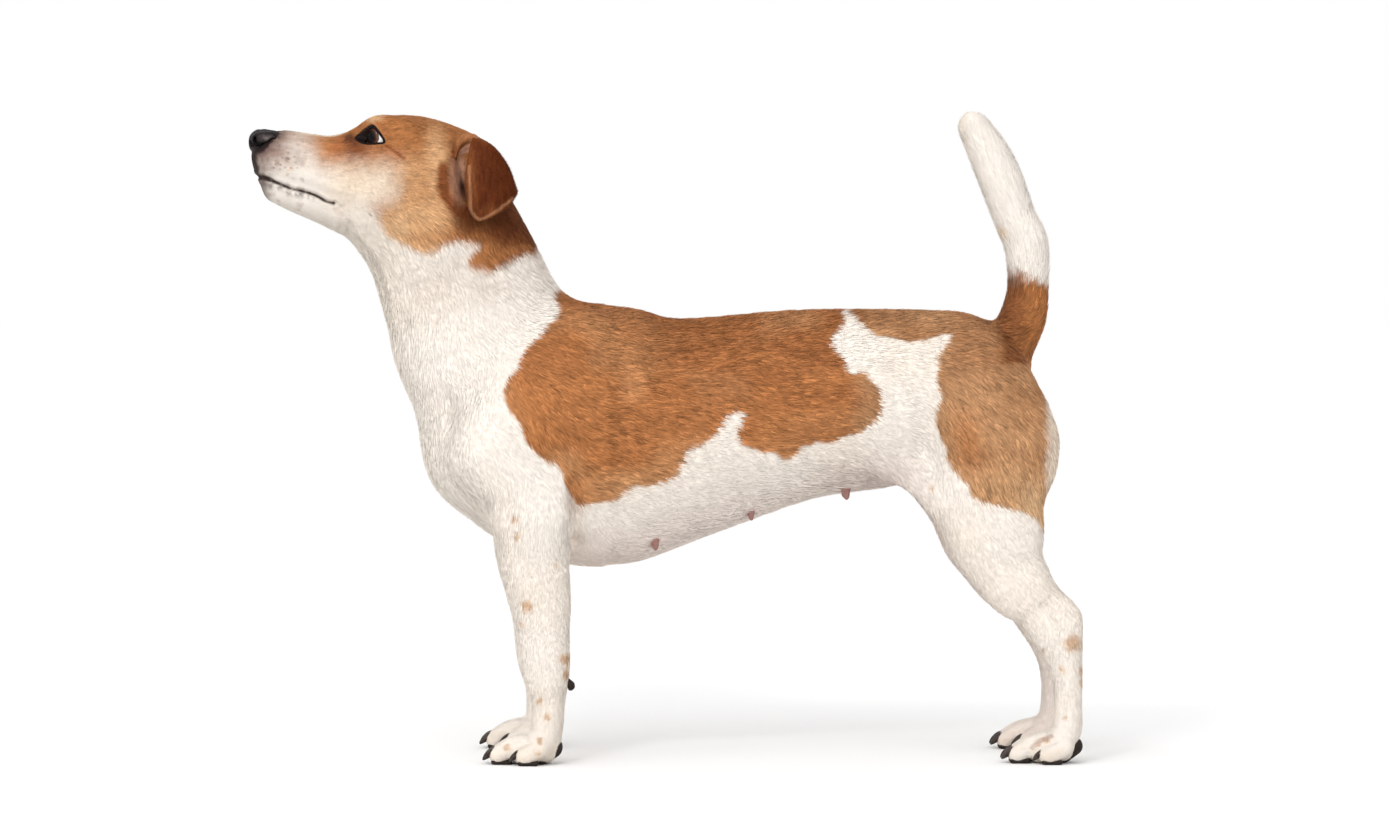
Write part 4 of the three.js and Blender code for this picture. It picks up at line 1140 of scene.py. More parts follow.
def coated(p):
    """1 where hair grows and 0 where the skin is bare."""
    h = to_left_half(to_head(p))
    q = h[:, [0, 2]]
    lids = smooth_step(outline_distance(OPENING, q), 1.8, 1.0) * (np.linalg.norm(h - EYE, axis=1) < 16)
    lips = (line_distance(LIPS, q) < 0.55) & (h[:, 0] < -199) & (h[:, 2] > 325)
    bare = np.max([smooth_step(chain_distance(NOSE, h), 1.6, 0.8), lids, lips, p[:, 2] < 0.8], 0)
    for teat in TEATS:
        bare = np.maximum(bare, at_teat(p, teat) < 2.6)
    near = np.nonzero(box_gap(h, EAR_BOX) < 2)[0]
    gap, side = ear_distance(h[near])
    hidden = (side < 0) & (gap > 0.8) & (gap < 3.4) & (h[near, 0] > -116) & (h[near, 2] < 360)
    bare[near[hidden]] = 1  # no hair between the flap and the head
    return 1 - bare


SWING = 0.13  # spread of the tufts' directions, in radians
WAVE = 0.3  # how far the lie waves from place to place, in radians
FAR_TIP = 2.5  # a tip further than this from the skin hangs over an edge: the tuft is halved
LENGTHS = (0.75, 1.2)  # shortest and longest tufts of a place, as shares of its hair's length
WIDTHS = (0.8, 1.25)
TIP_REACH = 0.95  # keeps the highest tips a little inside the coat's depth
SIDES_TURN = 0.22  # how far the shading of a tuft's two sides turns away from its middle
TIP_TURN = 0.2  # and that of its tip towards where it points


def grow_tufts(rng, root, normal, way):
    """Closed slivers that lie along the skin: a base, a low ridge and a tip."""
    length, width = hair_size(root)
    depth = coat_depth(root)
    way = along_skin(way, normal)
    across = np.cross(normal, way)
    swing = rng.normal(0, SWING, len(root)) + WAVE * noise(root, 9, 22)
    way = way * np.cos(swing)[:, None] + across * np.sin(swing)[:, None]
    across = np.cross(normal, way)
    length = length * rng.uniform(*LENGTHS, len(root))
    lift = rng.uniform(*LIFT, len(root))
    half = (width * rng.uniform(*WIDTHS, len(root)) * 0.5)[:, None]
    off = in_parts(skin, root + way * length[:, None])
    length = np.where(np.abs(off) > FAR_TIP, length * 0.5, length)[:, None]
    tip = root + way * length
    off = np.where(np.abs(off) > FAR_TIP, in_parts(skin, tip), off).clip(-FAR_TIP, FAR_TIP)
    tip += normal * (depth * lift * TIP_REACH - off)[:, None]
    base = root - normal * SINK
    ridge = base + (tip - base) * RIDGE_PLACE + normal * half * RIDGE_HEIGHT
    corners = np.stack([base - across * half, base + across * half, ridge, tip], 1)
    aside = across * SIDES_TURN
    facing_out = np.stack([normal - aside, normal + aside, normal, normal + way * TIP_TURN], 1)
    return corners.clip(LOWEST, HIGHEST), facing_out, way


STRAND_STRETCH = 0.88  # how much of the way along the hair is taken out of the pattern of its strands


def add_vectors(piece, name, vectors):
    layer = piece.data.attributes.new(name, "FLOAT_VECTOR", "POINT")
    layer.data.foreach_set("vector", vectors.astype(np.float32).ravel())


def strands(p, way):
    """Places for the strands' pattern, drawn out along the hair, in metres."""
    return (p - way * (p * way).sum(1)[:, None] * STRAND_STRETCH) * MM


PIECES = {  # the coat's pieces: two points of each region's own axis, for the unwrap
    "trunk": [(-130, 0, 200), (220, 0, 205)],
    "neck": [(-150, 0, 330), (-95, 0, 200)],
    "head": [(-200, 0, 350), (-110, 0, 345)],
    "muzzle": [(-245, 0, 352), (-195, 0, 350)],
    "ears": [(-112, 0, 375), (-112, 0, 320)],
    "forelegs": [(-75, 0, 140), (-75, 0, 20)],
    "hindlegs": [(195, 0, 155), (233, 0, 20)],
    "feet": [(0, 0, 25), (0, 0, 0)],
    "tail": [(212, 0, 255), (190, 0, 380)],
}
LIMB_Y = {"forelegs": FORE_Y, "hindlegs": HIND_Y, "feet": 44, "ears": 37}  # where the axes of pairs stand
FEET_X = (-84, 222)


def region_of(p):
    """The coat's pieces by number: rules in the order of PIECES, of which the last that holds counts."""
    h = to_head(p)
    x, y, z = p.T
    head = headness(p) > 0.5
    by_ear = box_gap(to_left_half(h), (EAR_BOX[0] + 2, EAR_BOX[1] - 2)) < 1
    region = np.zeros(len(p), int)
    for number, rule in enumerate((
        (x < HEAD_REAR) & (z > 232 + 0.6 * (x + 100)),
        head,
        head & (h[:, 0] < -198),
        head & by_ear,
        (z < 140) & (x < -40) & (np.abs(y) > 24),
        (z < 155) & (x > 140),
        z < 24,
        (x > 180) & (z > 258),
    ), 1):
        region[rule] = number
    return region


TUFT_PATCH = 0.003  # size of a tuft's place on the map
MAP_MARGIN = 0.015
LIMB_SHARE = 0.96  # how much of its strip of the map a limb takes up


def unwrap(name, p):
    """Place on the unwrapped skin of a region: along its axis, and round it, each limb beside the next."""
    start, end = np.array(PIECES[name], float)
    axis = (end - start) / np.linalg.norm(end - start)
    right = p[:, 1] > 0
    hind = (p[:, 0] > 60) if name == "feet" else np.zeros(len(p), bool)
    rel = p - start
    rel[:, 1] -= np.sign(p[:, 1]) * LIMB_Y.get(name, 0)
    if name == "feet":
        rel[:, 0] -= np.where(hind, FEET_X[1], FEET_X[0])
    along = rel @ axis
    angle = np.arctan2(rel[:, 1], rel @ unit(np.cross(axis, [[0, 1, 0]]))[0]) / (2 * np.pi) + 0.5
    if name in LIMB_Y:
        angle = (angle * LIMB_SHARE + right + 2 * hind) / (4 if name == "feet" else 2)
    along = (along - along.min()) / max(np.ptp(along), 1e-6)
    return np.stack([angle, along], 1) * (1 - 2 * MAP_MARGIN) + MAP_MARGIN


MOST_IN_PIECE = 48000  # tufts, of four triangles each
# painted light: the tufts' roots are drawn lighter to make up for the shade between tufts
TINT_ALONG = np.array([1.03, 1.03, 1.0, 1.0])  # corners at the base are a little lighter
COLOUR_PLACE = 0.45  # where along a tuft its colour is taken from the markings
CLUMP = (5.0, 1.2)  # length and width of the coat's lighter and darker wisps
SPECKLE = (0.02, 0.18)  # how much tufts differ in brightness: white hair, and how much more brown hair
WISPINESS = (0.04, 0.42)  # how much wisps differ, likewise
BRIGHTNESS = (0.5, 1.5)  # limits of both together
WHITE_PIECE = 0.35  # a piece is of white hair if its darkest channel is over this on average


def wisps(p, way):
    """Noise drawn out along the hair."""
    total = np.zeros(len(p))
    for axis in range(3):
        size = np.full(3, CLUMP[1])
        size[axis] = CLUMP[0]
        total += way[:, axis] ** 2 * noise(p, size, 23)
    return total


def build_coat(points, normal, way, faces, material):
    rng = np.random.default_rng(7)
    roots = tuft_roots(rng, points, faces, COVER * (1))
    root = at_roots(points, roots)
    normal = unit(at_roots(normal, roots))
    corners, facing_out, way = grow_tufts(rng, root, normal, at_roots(way, roots))
    colour = coat_colour(root + (corners[:, 3] - root) * COLOUR_PLACE)
    brown = 1 - (colour.min(1) / WHITE.min()).clip(0, 1)
    shade = 1 + rng.normal(0, 1, len(root)) * (SPECKLE[0] + SPECKLE[1] * brown)
    shade += (WISPINESS[0] + WISPINESS[1] * brown) * wisps(root, way)
    colour = colour * shade.clip(*BRIGHTNESS)[:, None]
    region = region_of(root)
    for number, name in enumerate(PIECES):
        chosen = np.nonzero(region == number)[0]
        parts = math.ceil(len(chosen) / MOST_IN_PIECE)
        for part, some in enumerate(np.array_split(chosen, parts) if parts else []):
            title = f"coat_{name}" + (f"_{part + 1}" if parts > 1 else "")
            piece = tuft_piece(title, corners[some], facing_out[some], way[some], colour[some])
            lay_map(piece, unwrap(name, root[some]))
            white = colour[some].min(1).mean() > WHITE_PIECE
            fix(piece, material, "coat_white" if white else "coat_tan")


def tuft_piece(title, corners, facing_out, way, colour):
    """A mesh of tufts with their colours, the directions they shade in and their strands."""
    starts = np.arange(len(corners)) * TUFT_CORNERS
    piece = new_mesh(title, corners.reshape(-1, 3), (starts[:, None, None] + TUFT_FACES).reshape(-1, 3))
    tint = (colour[:, None] * TINT_ALONG[:, None]).clip(0, 1)
    set_colours(piece, tint.reshape(-1, 3))
    add_vectors(piece, "custom_normal", unit(facing_out.reshape(-1, 3)))
    add_vectors(piece, "strand", strands(corners.reshape(-1, 3), np.repeat(way, TUFT_CORNERS, 0)))
    return piece


def lay_map(piece, places):
    """The OFBake map: each tuft is a small patch at its root's place."""
    local = np.array([[-0.9, -0.9], [0.9, -0.9], [0, -0.1], [0, 1]]) * TUFT_PATCH / 2
    uv = (places[:, None] + local).reshape(-1, 2)
    corner = np.zeros(len(piece.data.loops), np.int32)
    piece.data.loops.foreach_get("vertex_index", corner)
    layer = piece.data.uv_layers.new(name="OFBake")
    layer.uv.foreach_set("vector", uv[corner].astype(np.float32).ravel())


# ---------------------------------------------------------------- materials
class Look:
    """A material while its nodes are laid."""

    def __init__(self, name):
        self.material = bpy.data.materials.new(name)
        self.material.use_nodes = True
        self.nodes = self.material.node_tree.nodes

    def feed(self, node, inputs):
        """Sets inputs of a node to values, or joins them to outputs of other nodes."""
        for name, value in inputs.items():
            if isinstance(value, bpy.types.NodeSocket):
                self.material.node_tree.links.new(value, node.inputs[name])
            else:
                node.inputs[name].default_value = value

    def node(self, kind, inputs, **settings):
        made = self.nodes.new("ShaderNode" + kind)
        for name, value in settings.items():
            setattr(made, name, value)
        self.feed(made, inputs)
        return made

    def place(self):
        return self.node("TexCoord", {}).outputs["Object"]

    def own_colour(self):
        """The colours that the mesh itself carries."""
        return self.node("VertexColor", {}, layer_name="coat").outputs["Color"]

    def maths(self, operation, a, b):
        return self.node("Math", {0: a, 1: b}, operation=operation).outputs["Value"]

    def noise(self, scale, detail, place=None):
        inputs = {"Scale": scale, "Detail": detail, "Vector": place or self.place()}
        return self.node("TexNoise", inputs).outputs["Fac"]

    def pebbles(self, scale):
        return self.node("TexVoronoi", {"Scale": scale, "Vector": self.place()}).outputs["Distance"]

    def span(self, value, low, high):
        """A value from 0 to 1 spread from low to high."""
        return self.node("MapRange", {"Value": value, "To Min": low, "To Max": high}).outputs["Result"]

    def scaled(self, colour, factor):
        made = self.node("VectorMath", {0: colour, "Scale": factor}, operation="SCALE")
        return made.outputs["Vector"]

    def mix(self, share, *colours):
        """Two colours, or outputs that carry them, mixed."""
        a, b = (c if isinstance(c, bpy.types.NodeSocket) else (*c, 1) for c in colours)
        return self.node("Mix", {0: share, 6: a, 7: b}, data_type="RGBA").outputs[2]

    def done(self, colour, roughness, gloss, bump=None, depth=0.0, strength=0.0):
        """Feeds the shader and gives the material; depth is the bump's, in metres."""
        shader = self.nodes["Principled BSDF"]
        self.feed(shader, {"Base Color": colour, "Roughness": roughness, "Specular IOR Level": gloss})
        if bump:
            made = self.node("Bump", {"Strength": strength, "Distance": depth, "Height": bump})
            self.feed(shader, {"Normal": made.outputs["Normal"]})
        return self.material


def fur_material(name, bump):
    """Hair: the coat's own colours, broken up by strands that run along its lie."""
    look = Look(name)
    strand = look.node("Attribute", {}, attribute_name="strand").outputs["Vector"]
    fine = look.noise(1500, 2, strand)
    soft = look.noise(420, 2, strand)
    light = look.maths("MULTIPLY", look.span(fine, 0.88, 1.12), look.span(soft, 0.86, 1.14))
    colour = look.scaled(look.own_colour(), light)
    return look.done(colour, look.span(fine, 0.5, 0.72), 0.08, fine, 0.0003, bump)


def leather_material(name, base, light, scale, rough, gloss, depth):
    """Pebbled bare skin."""
    look = Look(name)
    pebble = look.pebbles(scale)
    colour = look.mix(look.noise(scale * 0.25, 3), base, light)
    return look.done(colour, look.span(pebble, rough, rough + 0.3), gloss, pebble, depth, 0.8)


def nose_material():
    """Moist pebbled leather in the piece's own colours."""
    look = Look("nose_skin")
    pebble = look.pebbles(1300)
    colour = look.scaled(look.own_colour(), look.span(pebble, 1.15, 0.75))
    return look.done(colour, look.span(pebble, 0.3, 0.6), 0.07, pebble, 0.0003, 0.7)


def horn_material():
    """Dark claws with streaks."""
    look = Look("claw_horn")
    streaks = look.noise(500, 4)
    colour = look.mix(look.span(streaks, -0.3, 0.8), tone(30, 24, 22), tone(104, 90, 82))
    return look.done(colour, look.span(streaks, 0.25, 0.5), 0.15, streaks, 0.0002, 0.5)


def teat_material():
    look = Look("teat_skin")
    cloud = look.noise(600, 4)
    return look.done(look.mix(cloud, tone(122, 80, 74), tone(170, 124, 114)), 0.55, 0.5, cloud, 0.0004, 0.6)


IRIS = 5.0
PUPIL = 3.1
EYE_RINGS = [  # colours of the eye by their distance from its axis
    (PUPIL - 0.4, tone(5, 4, 6)), (PUPIL + 0.4, tone(38, 22, 16)), (IRIS - 1.0, tone(66, 39, 28)),
    (IRIS - 0.4, tone(118, 76, 58)), (IRIS - 0.05, tone(66, 44, 38)), (IRIS + 0.15, tone(80, 68, 66)),
    # the bright white past the iris is the sclera with a painted highlight over it
    (IRIS + 0.5, tone(252, 250, 248)), (9.6, tone(230, 212, 208)),
]
DARK_CORNER = (4.8 * MM, 5.8 * MM)  # towards the nose the eye darkens between these


def eye_material():
    """An eye seen from its own front, which is its local Z; its local X is its forward side."""
    look = Look("eye_surface")
    place = look.place()
    flat = look.node("VectorMath", {0: place, 1: (1 / MM, 1 / MM, 0)}, operation="MULTIPLY")
    radius = look.node("VectorMath", {0: flat.outputs["Vector"]}, operation="LENGTH").outputs["Value"]
    wobble = look.maths("ADD", radius, look.span(look.noise(420, 4), -0.5, 0.5))
    bands = look.node("ValToRGB", {"Fac": look.maths("DIVIDE", wobble, EYE_RADIUS)})
    stops = bands.color_ramp.elements
    while len(stops) < len(EYE_RINGS):
        stops.new(0.5)
    for stop, (at, colour) in zip(stops, EYE_RINGS):
        stop.position = at / EYE_RADIUS
        stop.color = (*colour, 1)
    forward = look.node("SeparateXYZ", {0: place}).outputs["X"]
    corner = look.node("MapRange", {"Value": forward, "From Min": DARK_CORNER[0], "From Max": DARK_CORNER[1]})
    colour = look.mix(corner.outputs["Result"], bands.outputs["Color"], tone(34, 26, 26))
    return look.done(colour, 0.06, 0.1)


# ---------------------------------------------------------------- pieces
def net_piece(field, low, high, step):
    """Points and faces of a field's surface inside a box."""
    lines = [grid_line(low[k], high[k], [[low[k], step], [high[k], step]]) for k in range(3)]
    points, faces = surface_net(sampled(field, lines), lines)
    points, _ = onto_surface(field, points, rounds=2, most=step / 2)
    return points, faces


# The grid's spacing, as [place, millimetres], is fine where the head, the ears' leather and the feet are
GRID_X = [
    [-252, 0.8], [-206, 0.85], [-192, 0.8], [-169, 0.8], [-162, 1.25], [-130, 1.25], [-125, 1.05],
    [-92, 1.05], [-86, 2.1], [-56, 2.3], [-40, 3.6], [190, 3.6], [206, 2.3], [250, 2.3],
]
GRID_Y = [
    [-68, 1.8], [-52, 1.8], [-48, 1.05], [-28, 1.05], [-24, 1.7], [24, 1.7], [28, 1.05], [48, 1.05],
    [52, 1.8], [68, 1.8],
]
GRID_Z = [
    [0, 1.4], [22, 1.7], [50, 3.0], [285, 3.2], [304, 1.5], [325, 1.1], [332, 0.95], [350, 0.95],
    [358, 0.8], [380, 0.8], [388, 1.3],
]
FLESH = (
    "trunk", "neck", "tail", "head", "jaw", "ear_", "shoulder_", "foreleg_", "thigh_", "shank_", "hock_",
    "forepaw_", "hindpaw_",
)


def build_skin(material):
    coarser = [1, 1]
    lines = [
        grid_line(start, end, np.array(steps) * coarser)
        for start, end, steps in ((-252, 250, GRID_X), (-68, 68, GRID_Y), (-1.5, 388, GRID_Z))
    ]
    points, faces = surface_net(sampled(skin, lines), lines)
    points, normal = onto_surface(skin, points)
    way = lie_at(points, normal)
    piece = new_mesh("skin", points, faces)
    set_colours(piece, coat_colour(points))
    add_vectors(piece, "strand", strands(points, way))
    fix(piece, material, "coat_white", *[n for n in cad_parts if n.startswith(FLESH)])
    print("skin triangles", 2 * len(faces))
    return points, normal, way, faces


NOSTRIL = [[-246.8, 369.6], [-246.4, 366.6], [-243.6, 365.3], [-239.8, 366.6], [-236.8, 368.8]]
NOSE_HOLE = chain([[-250, -4.4, 366.4, 1.9], [-246.5, -7.0, 366.2, 1.7], [-244, -10.6, 366.4, 1.0]])
NOSE_WING = chain([[-244.5, -8.2, 368.8, 3.6], [-241, -9.4, 369.4, 3.8], [-237, -9.6, 370.2, 3]])
NOSE_GROOVE = np.array([[-252, 0, 371], [-250, 0, 364], [-246, 0, 357]])
NOSE_FRONT = -249.2


def nose_field(p):
    h = to_left_half(to_head(p))
    d = smooth_min(chain_distance(NOSE, h) + 0.2, chain_distance(NOSE_WING, h), 2)
    slit = line_distance(smooth_line(NOSTRIL, 4), h[:, [0, 2]])
    d = d + 2.0 * np.exp(-((slit / 0.8) ** 2)) * ramp(h, 1, -3, -6)
    d = smooth_max(d, -chain_distance(NOSE_HOLE, h), 0.8)
    d = d + 0.8 * np.exp(-((line_distance(NOSE_GROOVE, h) / 0.9) ** 2))
    return smooth_max(d, NOSE_FRONT - p[:, 0], 0.6)


def nose_colour(p):
    """Black, with a painted highlight on the wing over the nostril and painted shade in the nostril's slit,
    and browner where hair begins.
    """
    h = to_left_half(to_head(p))
    q = h[:, [0, 2]]
    slit = line_distance(smooth_line(NOSTRIL, 4), q)
    wing_highlight = spot(q, -240.5, 369.4, 3.6, 1.9) * ramp(h, 1, -4, -9)
    return painted(
        tone(24, 18, 18),
        (tone(112, 102, 101), wing_highlight * (0.75 + 0.5 * noise(p, 1.3, 41)).clip(0, 1)),
        # painted shade in the nostril's slit
        (tone(6, 5, 5), smooth_step(slit, 1.2, 0.5) * ramp(h, 1, -3, -6)),
        (tone(64, 48, 45), smooth_step(q[:, 1] + 0.4 * q[:, 0], 267, 262) * 0.6),
    )


def pad_field(foot, side, step):
    """Heel pad and toe pads of a foot."""
    back, size = foot["x"] + foot["heel"], foot["pad"]
    pads = [row(foot["y"], [[back + 1.2, 9.8, size, 1.3], [back - 5, 3.6, 0.76 * size, 1.7]])]
    for across, forward in foot["toes"]:
        tip, y = toe_place(foot, across, forward)
        pads.append(row(y, [[tip + 6, 1.5, 2.0, 2.15], [tip - 2.6, 1.5, 1.9, 2.15]]))

    def field(p):
        q = p * [1, -side, 1] - [0 if side < 0 else step, 0, 0]
        d = chain_distance(pads[0], q)
        for pad in pads[1:]:
            d = smooth_min(d, chain_distance(pad, q), 1.0)
        return smooth_max(d, -p[:, 2], 0.4)

    return field


def on_side(points, side, step):
    """Points of the left limb, or of its mirror image."""
    return points if side < 0 else points * [1, -1, 1] + [step, 0, 0]


def facing(faces, side):
    return faces if side < 0 else faces[:, ::-1]


# Balls of a claw: x from the toe's tip, z and radius
CLAW = [[0, 8.4, 2.3], [-3.4, 7.4, 2.4], [-6.2, 5.6, 2.0], [-8.2, 3.8, 1.3], [-9.2, 2.7, 0.5]]
PAD_BOX = np.array([[-28, -19, -1], [20, 19, 20]])  # round a foot's middle
PAD_STEP = 0.8  # spacing of the grid


def build_feet(pad_look, horn_look):
    for name, foot in FEET.items():
        step = RIGHT_FORE_STEP if name == "fore" else 0
        for word, side in SIDES:
            middle = on_side(np.array([foot["x"], foot["y"], 0]), side, step)
            points, faces = net_piece(pad_field(foot, side, step), *(middle + PAD_BOX), PAD_STEP)
            fix(new_mesh(f"{name}pads_{word}", points, faces), pad_look, "pad_leather", f"{name}pad_{word}")
            claws = []
            for across, forward in foot["toes"]:
                tip, y = toe_place(foot, across, forward)
                claws.append(loft([[tip + x, y, z, radius] for x, z, radius in CLAW], 12, 8))
            points, faces = merged(claws)
            piece = new_mesh(f"{name}claws_{word}", on_side(points, side, step), facing(faces, side))
            fix(piece, horn_look, "claw", *[f"{name}claw_{i + 1}_{word}" for i in range(len(foot["toes"]))])


WRIST_PAD = row(-FORE_Y, [[-61, 49.2, 2.6], [-57, 46.4, 2.5], [-57.2, 44.9, 1.8]])
WRIST_BOX = np.array([[-69, -54, 37], [-52, -40, 56]])


def wrist_field(p):
    return chain_distance(WRIST_PAD, p) + 0.25 * noise(p, 1.6, 31)


def build_wrist_pads(pad_look):
    points, faces = net_piece(wrist_field, *WRIST_BOX, 0.7)
    for word, side in SIDES:
        piece = new_mesh(f"carpal_pad_{word}", on_side(points, side, RIGHT_FORE_STEP), facing(faces, side))
        fix(piece, pad_look, "pad_leather", f"wristpad_{word}")


NOSE_CORNERS = np.array([[-253, -14, 355.0], [-229, 14, 378.0]])  # in the head's frame


def build_nose(look):
    corners = from_head(NOSE_CORNERS)
    points, faces = net_piece(nose_field, corners.min(0) - 2, corners.max(0) + 2, 0.5)
    piece = new_mesh("nose_leather", points, faces)
    set_colours(piece, nose_colour(points))
    fix(piece, look, "nose_leather", "nose")


GAZE = math.radians(45)  # forward of straight sideways, in the head's frame
EYE_OUTLINE = [  # outer edge of the black lids, point for point beside EYE_OPENING
    [-188.7, 369.3], [-185.7, 373.5], [-182.3, 376.3], [-178.2, 377.5], [-175.2, 374], [-173, 370.9],
    [-171.2, 366.6], [-174.9, 365.7], [-179.1, 365.4], [-182.7, 365.6], [-186, 366.8],
]
THIRD_LID = [
    [-186.2, -17.6, 369, 1.2], [-184.6, -18.8, 369.2, 2.1], [-182.6, -20, 369.2, 2.4],
    [-180.8, -20.9, 369, 1.7],
]
EYE_SHIFT = [0.8, 0.2, 0]  # from the middle of the lids to the middle of the ball
EYE_STEPS, EYE_SIDES = 40, 64
CORNEA = 0.9  # how far it stands out of the ball
CORNEA_ANGLE = 0.55  # from its middle to its edge, in radians
RIM_SIDES = 12
RIM_HEIGHT = 0.28


def eyeball():
    """Points and faces of an eye whose front is its Z."""
    polar = np.linspace(0, np.pi, EYE_STEPS + 1)[1:-1]
    flatter = 0.09 * smooth_step(polar, 0.9, 1.6)  # the half inside the head
    radius = EYE_RADIUS - 0.1 + CORNEA * np.exp(-((polar / CORNEA_ANGLE) ** 4)) - flatter
    out = (np.sin(polar) * radius)[:, None]
    centre = np.stack([0 * polar, 0 * polar, np.cos(polar) * radius], 1)
    points = rings_round(centre, out * [1, 0, 0], out * [0, 1, 0], EYE_SIDES)
    ends = [[0, 0, EYE_RADIUS - 0.1 + CORNEA], [0, 0, -EYE_RADIUS]]
    return np.vstack([points, ends]), ring_faces(len(polar), EYE_SIDES)[:, ::-1]


def build_eyes(look, rim_look, third_look):
    ball, ball_faces = eyeball()
    points, faces = loft(THIRD_LID, 16, 8)
    for word, side in SIDES:
        ahead, aside = math.sin(GAZE), math.cos(GAZE)
        gaze = turn(np.array([-ahead, side * aside, 0]), HEAD_TURN)
        forward = turn(np.array([-aside, -side * ahead, 0]), HEAD_TURN)
        centre = from_head((EYE + EYE_SHIFT) * [1, -side, 1])
        piece = new_mesh(f"eyeball_{word}", ball - DRAWING_SHIFT, ball_faces)
        basis = Matrix(np.array([forward, np.cross(gaze, forward), gaze]).T.tolist()).to_4x4()
        piece.matrix_world = Matrix.Translation(Vector((centre + DRAWING_SHIFT) * MM)) @ basis
        fix(piece, look, "eye", f"eye_{word}")
        build_rim(word, side, rim_look)
        lid = new_mesh(f"third_lid_{word}", from_head(points * [1, -side, 1]), facing(faces, side))
        fix(lid, third_look, "nose_leather")


def meet_skin(outside, inside, lids_open=True):
    """Where the skin lies between points outside it and points inside it."""
    for _ in range(24):
        middle = (outside + inside) / 2
        within = (skin(middle, lids_open) < 0)[:, None]
        inside = np.where(within, middle, inside)
        outside = np.where(within, outside, middle)
    return outside


def on_closed_lids(q):
    """Points on the skin of the closed lids over places in x and z, in the head's frame."""
    beside = [np.insert(q, 1, y, axis=1) for y in (-34.0, -10.0)]
    return to_head(meet_skin(from_head(beside[0]), from_head(beside[1]), False))


def build_rim(word, side, look):
    """The black edge of the lids, a flat band from the eye to the hair."""
    inner, outer = closed_outline(EYE_OPENING, 8), closed_outline(EYE_OUTLINE, 8)
    reach = np.linalg.norm(outer - inner, axis=1)[:, None] / 2 + 0.2
    line = on_closed_lids((inner + outer) / 2)
    out = unit(on_closed_lids(outer) - line)
    up = unit(np.cross(np.roll(line, -1, 0) - np.roll(line, 1, 0), out))
    up *= -np.sign(up[:, 1:2])
    points = rings_round(line, out * reach, up * RIM_HEIGHT, RIM_SIDES)
    index = np.arange(len(points)).reshape(-1, RIM_SIDES)
    index = np.pad(index, ((0, 1), (0, 1)), "wrap")
    faces = np.stack([index[:-1, :-1], index[:-1, 1:], index[1:, 1:], index[1:, :-1]], -1).reshape(-1, 4)
    piece = new_mesh(f"lid_rim_{word}", from_head(points * [1, -side, 1]), facing(faces, side))
    fix(piece, look, "nose_leather")


# Balls of a teat: x and z from the skin, and radius
TEAT_BALLS = [[0, 3, 3.6], [0, -0.3, 3.0], [0.3, -2.6, 2.3], [0.5, -4.6, 1.8], [0.6, -5.8, 1.0]]


def build_teats(look):
    parts = []
    for x, y, size in TEATS:
        for side in (-1, 1):
            _, _, z = meet_skin(np.array([[x, -side * y, 100.0]]), np.array([[x, -side * y, 200.0]]))[0]
            balls = [[x + back, -side * y, z + up * size, radius * size] for back, up, radius in TEAT_BALLS]
            parts.append(loft(balls, 14, 6))
    points, faces = merged(parts)
    fix(new_mesh("teats", points, faces), look, "nose_leather")


# ---------------------------------------------------------------- stage
SKY = 1.0  # the studio's even light, as bright as its floor
SUN = 1.0
SUN_SPREAD = math.radians(80)
FILL = 0.55  # low light from her left, which reaches under the belly
TOWARDS_FILL = Vector((-0.15, -1, 0.12)).normalized()
FILL_SPREAD = math.radians(100)
TOWARDS_KEY = Vector((-0.3, -0.75, 0.6)).normalized()
KEY_DISTANCE = 2.2
KEY_SIZE = 0.35
KEY_WATTS = 8.5
KEY_AIM = Vector((0, 0, 0.25))
FLOOR_RADIUS = 200


def build_stage():
    bpy.ops.mesh.primitive_circle_add(vertices=96, radius=FLOOR_RADIUS, fill_type="NGON")
    floor = bpy.context.object
    floor.name = "floor"
    # The floor's grey makes up for the lamps, so that it shows as bright as the sky
    even = SKY / (SKY + (SUN * TOWARDS_KEY.z + FILL * TOWARDS_FILL.z) / math.pi)
    floor.data.materials.append(Look("pale_floor").done((even, even, even, 1), 1.0, 0.0))
    world = bpy.data.worlds.new("studio")
    world.use_nodes = True
    background = world.node_tree.nodes["Background"]
    background.inputs["Color"].default_value = (1, 1, 1, 1)
    background.inputs["Strength"].default_value = SKY
    bpy.context.scene.world = world
    bpy.context.scene.view_settings.view_transform = "Standard"


def add_lamp(name, data, place, towards):
    lamp = bpy.data.objects.new(name, data)
    lamp.location = place
    lamp.rotation_euler = towards.to_track_quat("Z", "Y").to_euler()
    bpy.context.scene.collection.objects.link(lamp)


def add_sun(name, strength, spread, towards):
    data = bpy.data.lights.new(name, "SUN")
    data.energy = strength
    data.angle = spread
    add_lamp(name, data, (0, 0, 2), towards)


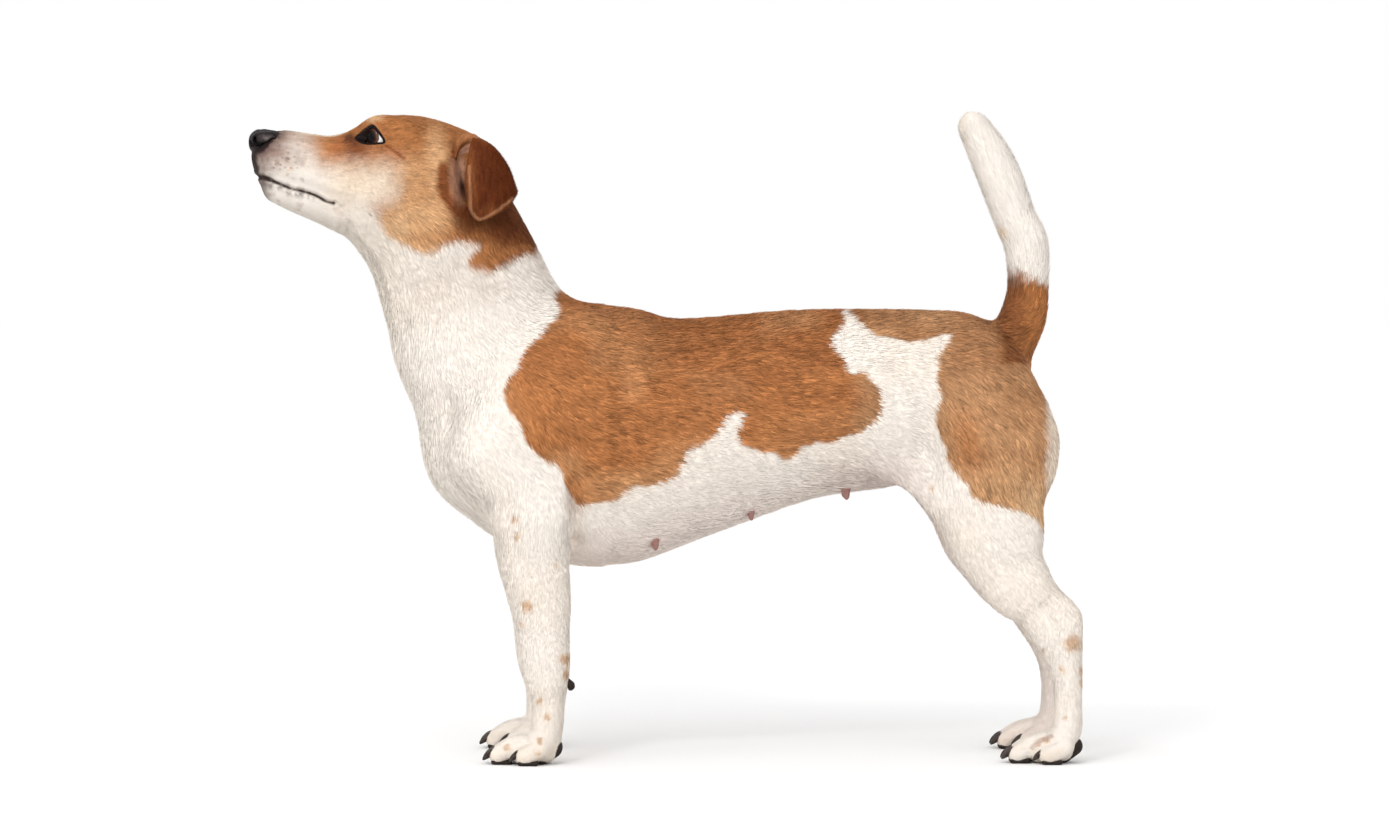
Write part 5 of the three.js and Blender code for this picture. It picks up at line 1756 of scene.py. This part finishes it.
def build_lights():
    add_sun("soft_sun", SUN, SUN_SPREAD, TOWARDS_KEY)
    add_sun("low_fill", FILL, FILL_SPREAD, TOWARDS_FILL)
    key = bpy.data.lights.new("key", "AREA")
    key.size = KEY_SIZE
    key.energy = KEY_WATTS
    add_lamp("key", key, KEY_AIM + TOWARDS_KEY * KEY_DISTANCE, TOWARDS_KEY)


# The photograph's frame is 1388 px wide. Its camera looks level along +Y from the place below; the
# middle of the frame lies a little to the right of and under that level line.
FRAME_WIDTH = 1388
MM_PER_PIXEL = 0.6
CAMERA_BACK = 2500
CAMERA_HEIGHT = 260
FRAME_MIDDLE = (694, 410)
LEVEL_POINT = (667.5, 322.7)
SENSOR = 36


def build_camera():
    focal = CAMERA_BACK / MM_PER_PIXEL
    data = bpy.data.cameras.new("camera")
    data.sensor_width = SENSOR
    data.lens = SENSOR * focal / FRAME_WIDTH
    camera = bpy.data.objects.new("camera", data)
    camera.location = Vector((np.array([0, -CAMERA_BACK, CAMERA_HEIGHT]) + DRAWING_SHIFT) * MM)
    right = (FRAME_MIDDLE[0] - LEVEL_POINT[0]) / focal
    down = (FRAME_MIDDLE[1] - LEVEL_POINT[1]) / focal
    camera.rotation_euler = Vector((right, 1, -down)).to_track_quat("-Z", "Y").to_euler()
    bpy.context.scene.collection.objects.link(camera)
    bpy.context.scene.camera = camera


# ---------------------------------------------------------------- all of it
build_camera()
skin_mesh = build_skin(fur_material("skin", 0.7))
build_coat(*skin_mesh, fur_material("coat", 0.3))
build_nose(nose_material())
pad_skin = leather_material("pad_skin", tone(28, 24, 24), tone(62, 52, 47), 800, 0.55, 0.08, 0.0004)
build_feet(pad_skin, horn_material())
build_wrist_pads(pad_skin)
rim_skin = leather_material("rim_skin", tone(8, 6, 7), tone(28, 20, 19), 1500, 0.45, 0.07, 0.00005)
third_lid = leather_material("third_lid_skin", tone(12, 8, 8), tone(34, 24, 22), 1500, 0.3, 0.05, 0.00005)
build_eyes(eye_material(), rim_skin, third_lid)
build_teats(teat_material())
build_stage()
build_lights()
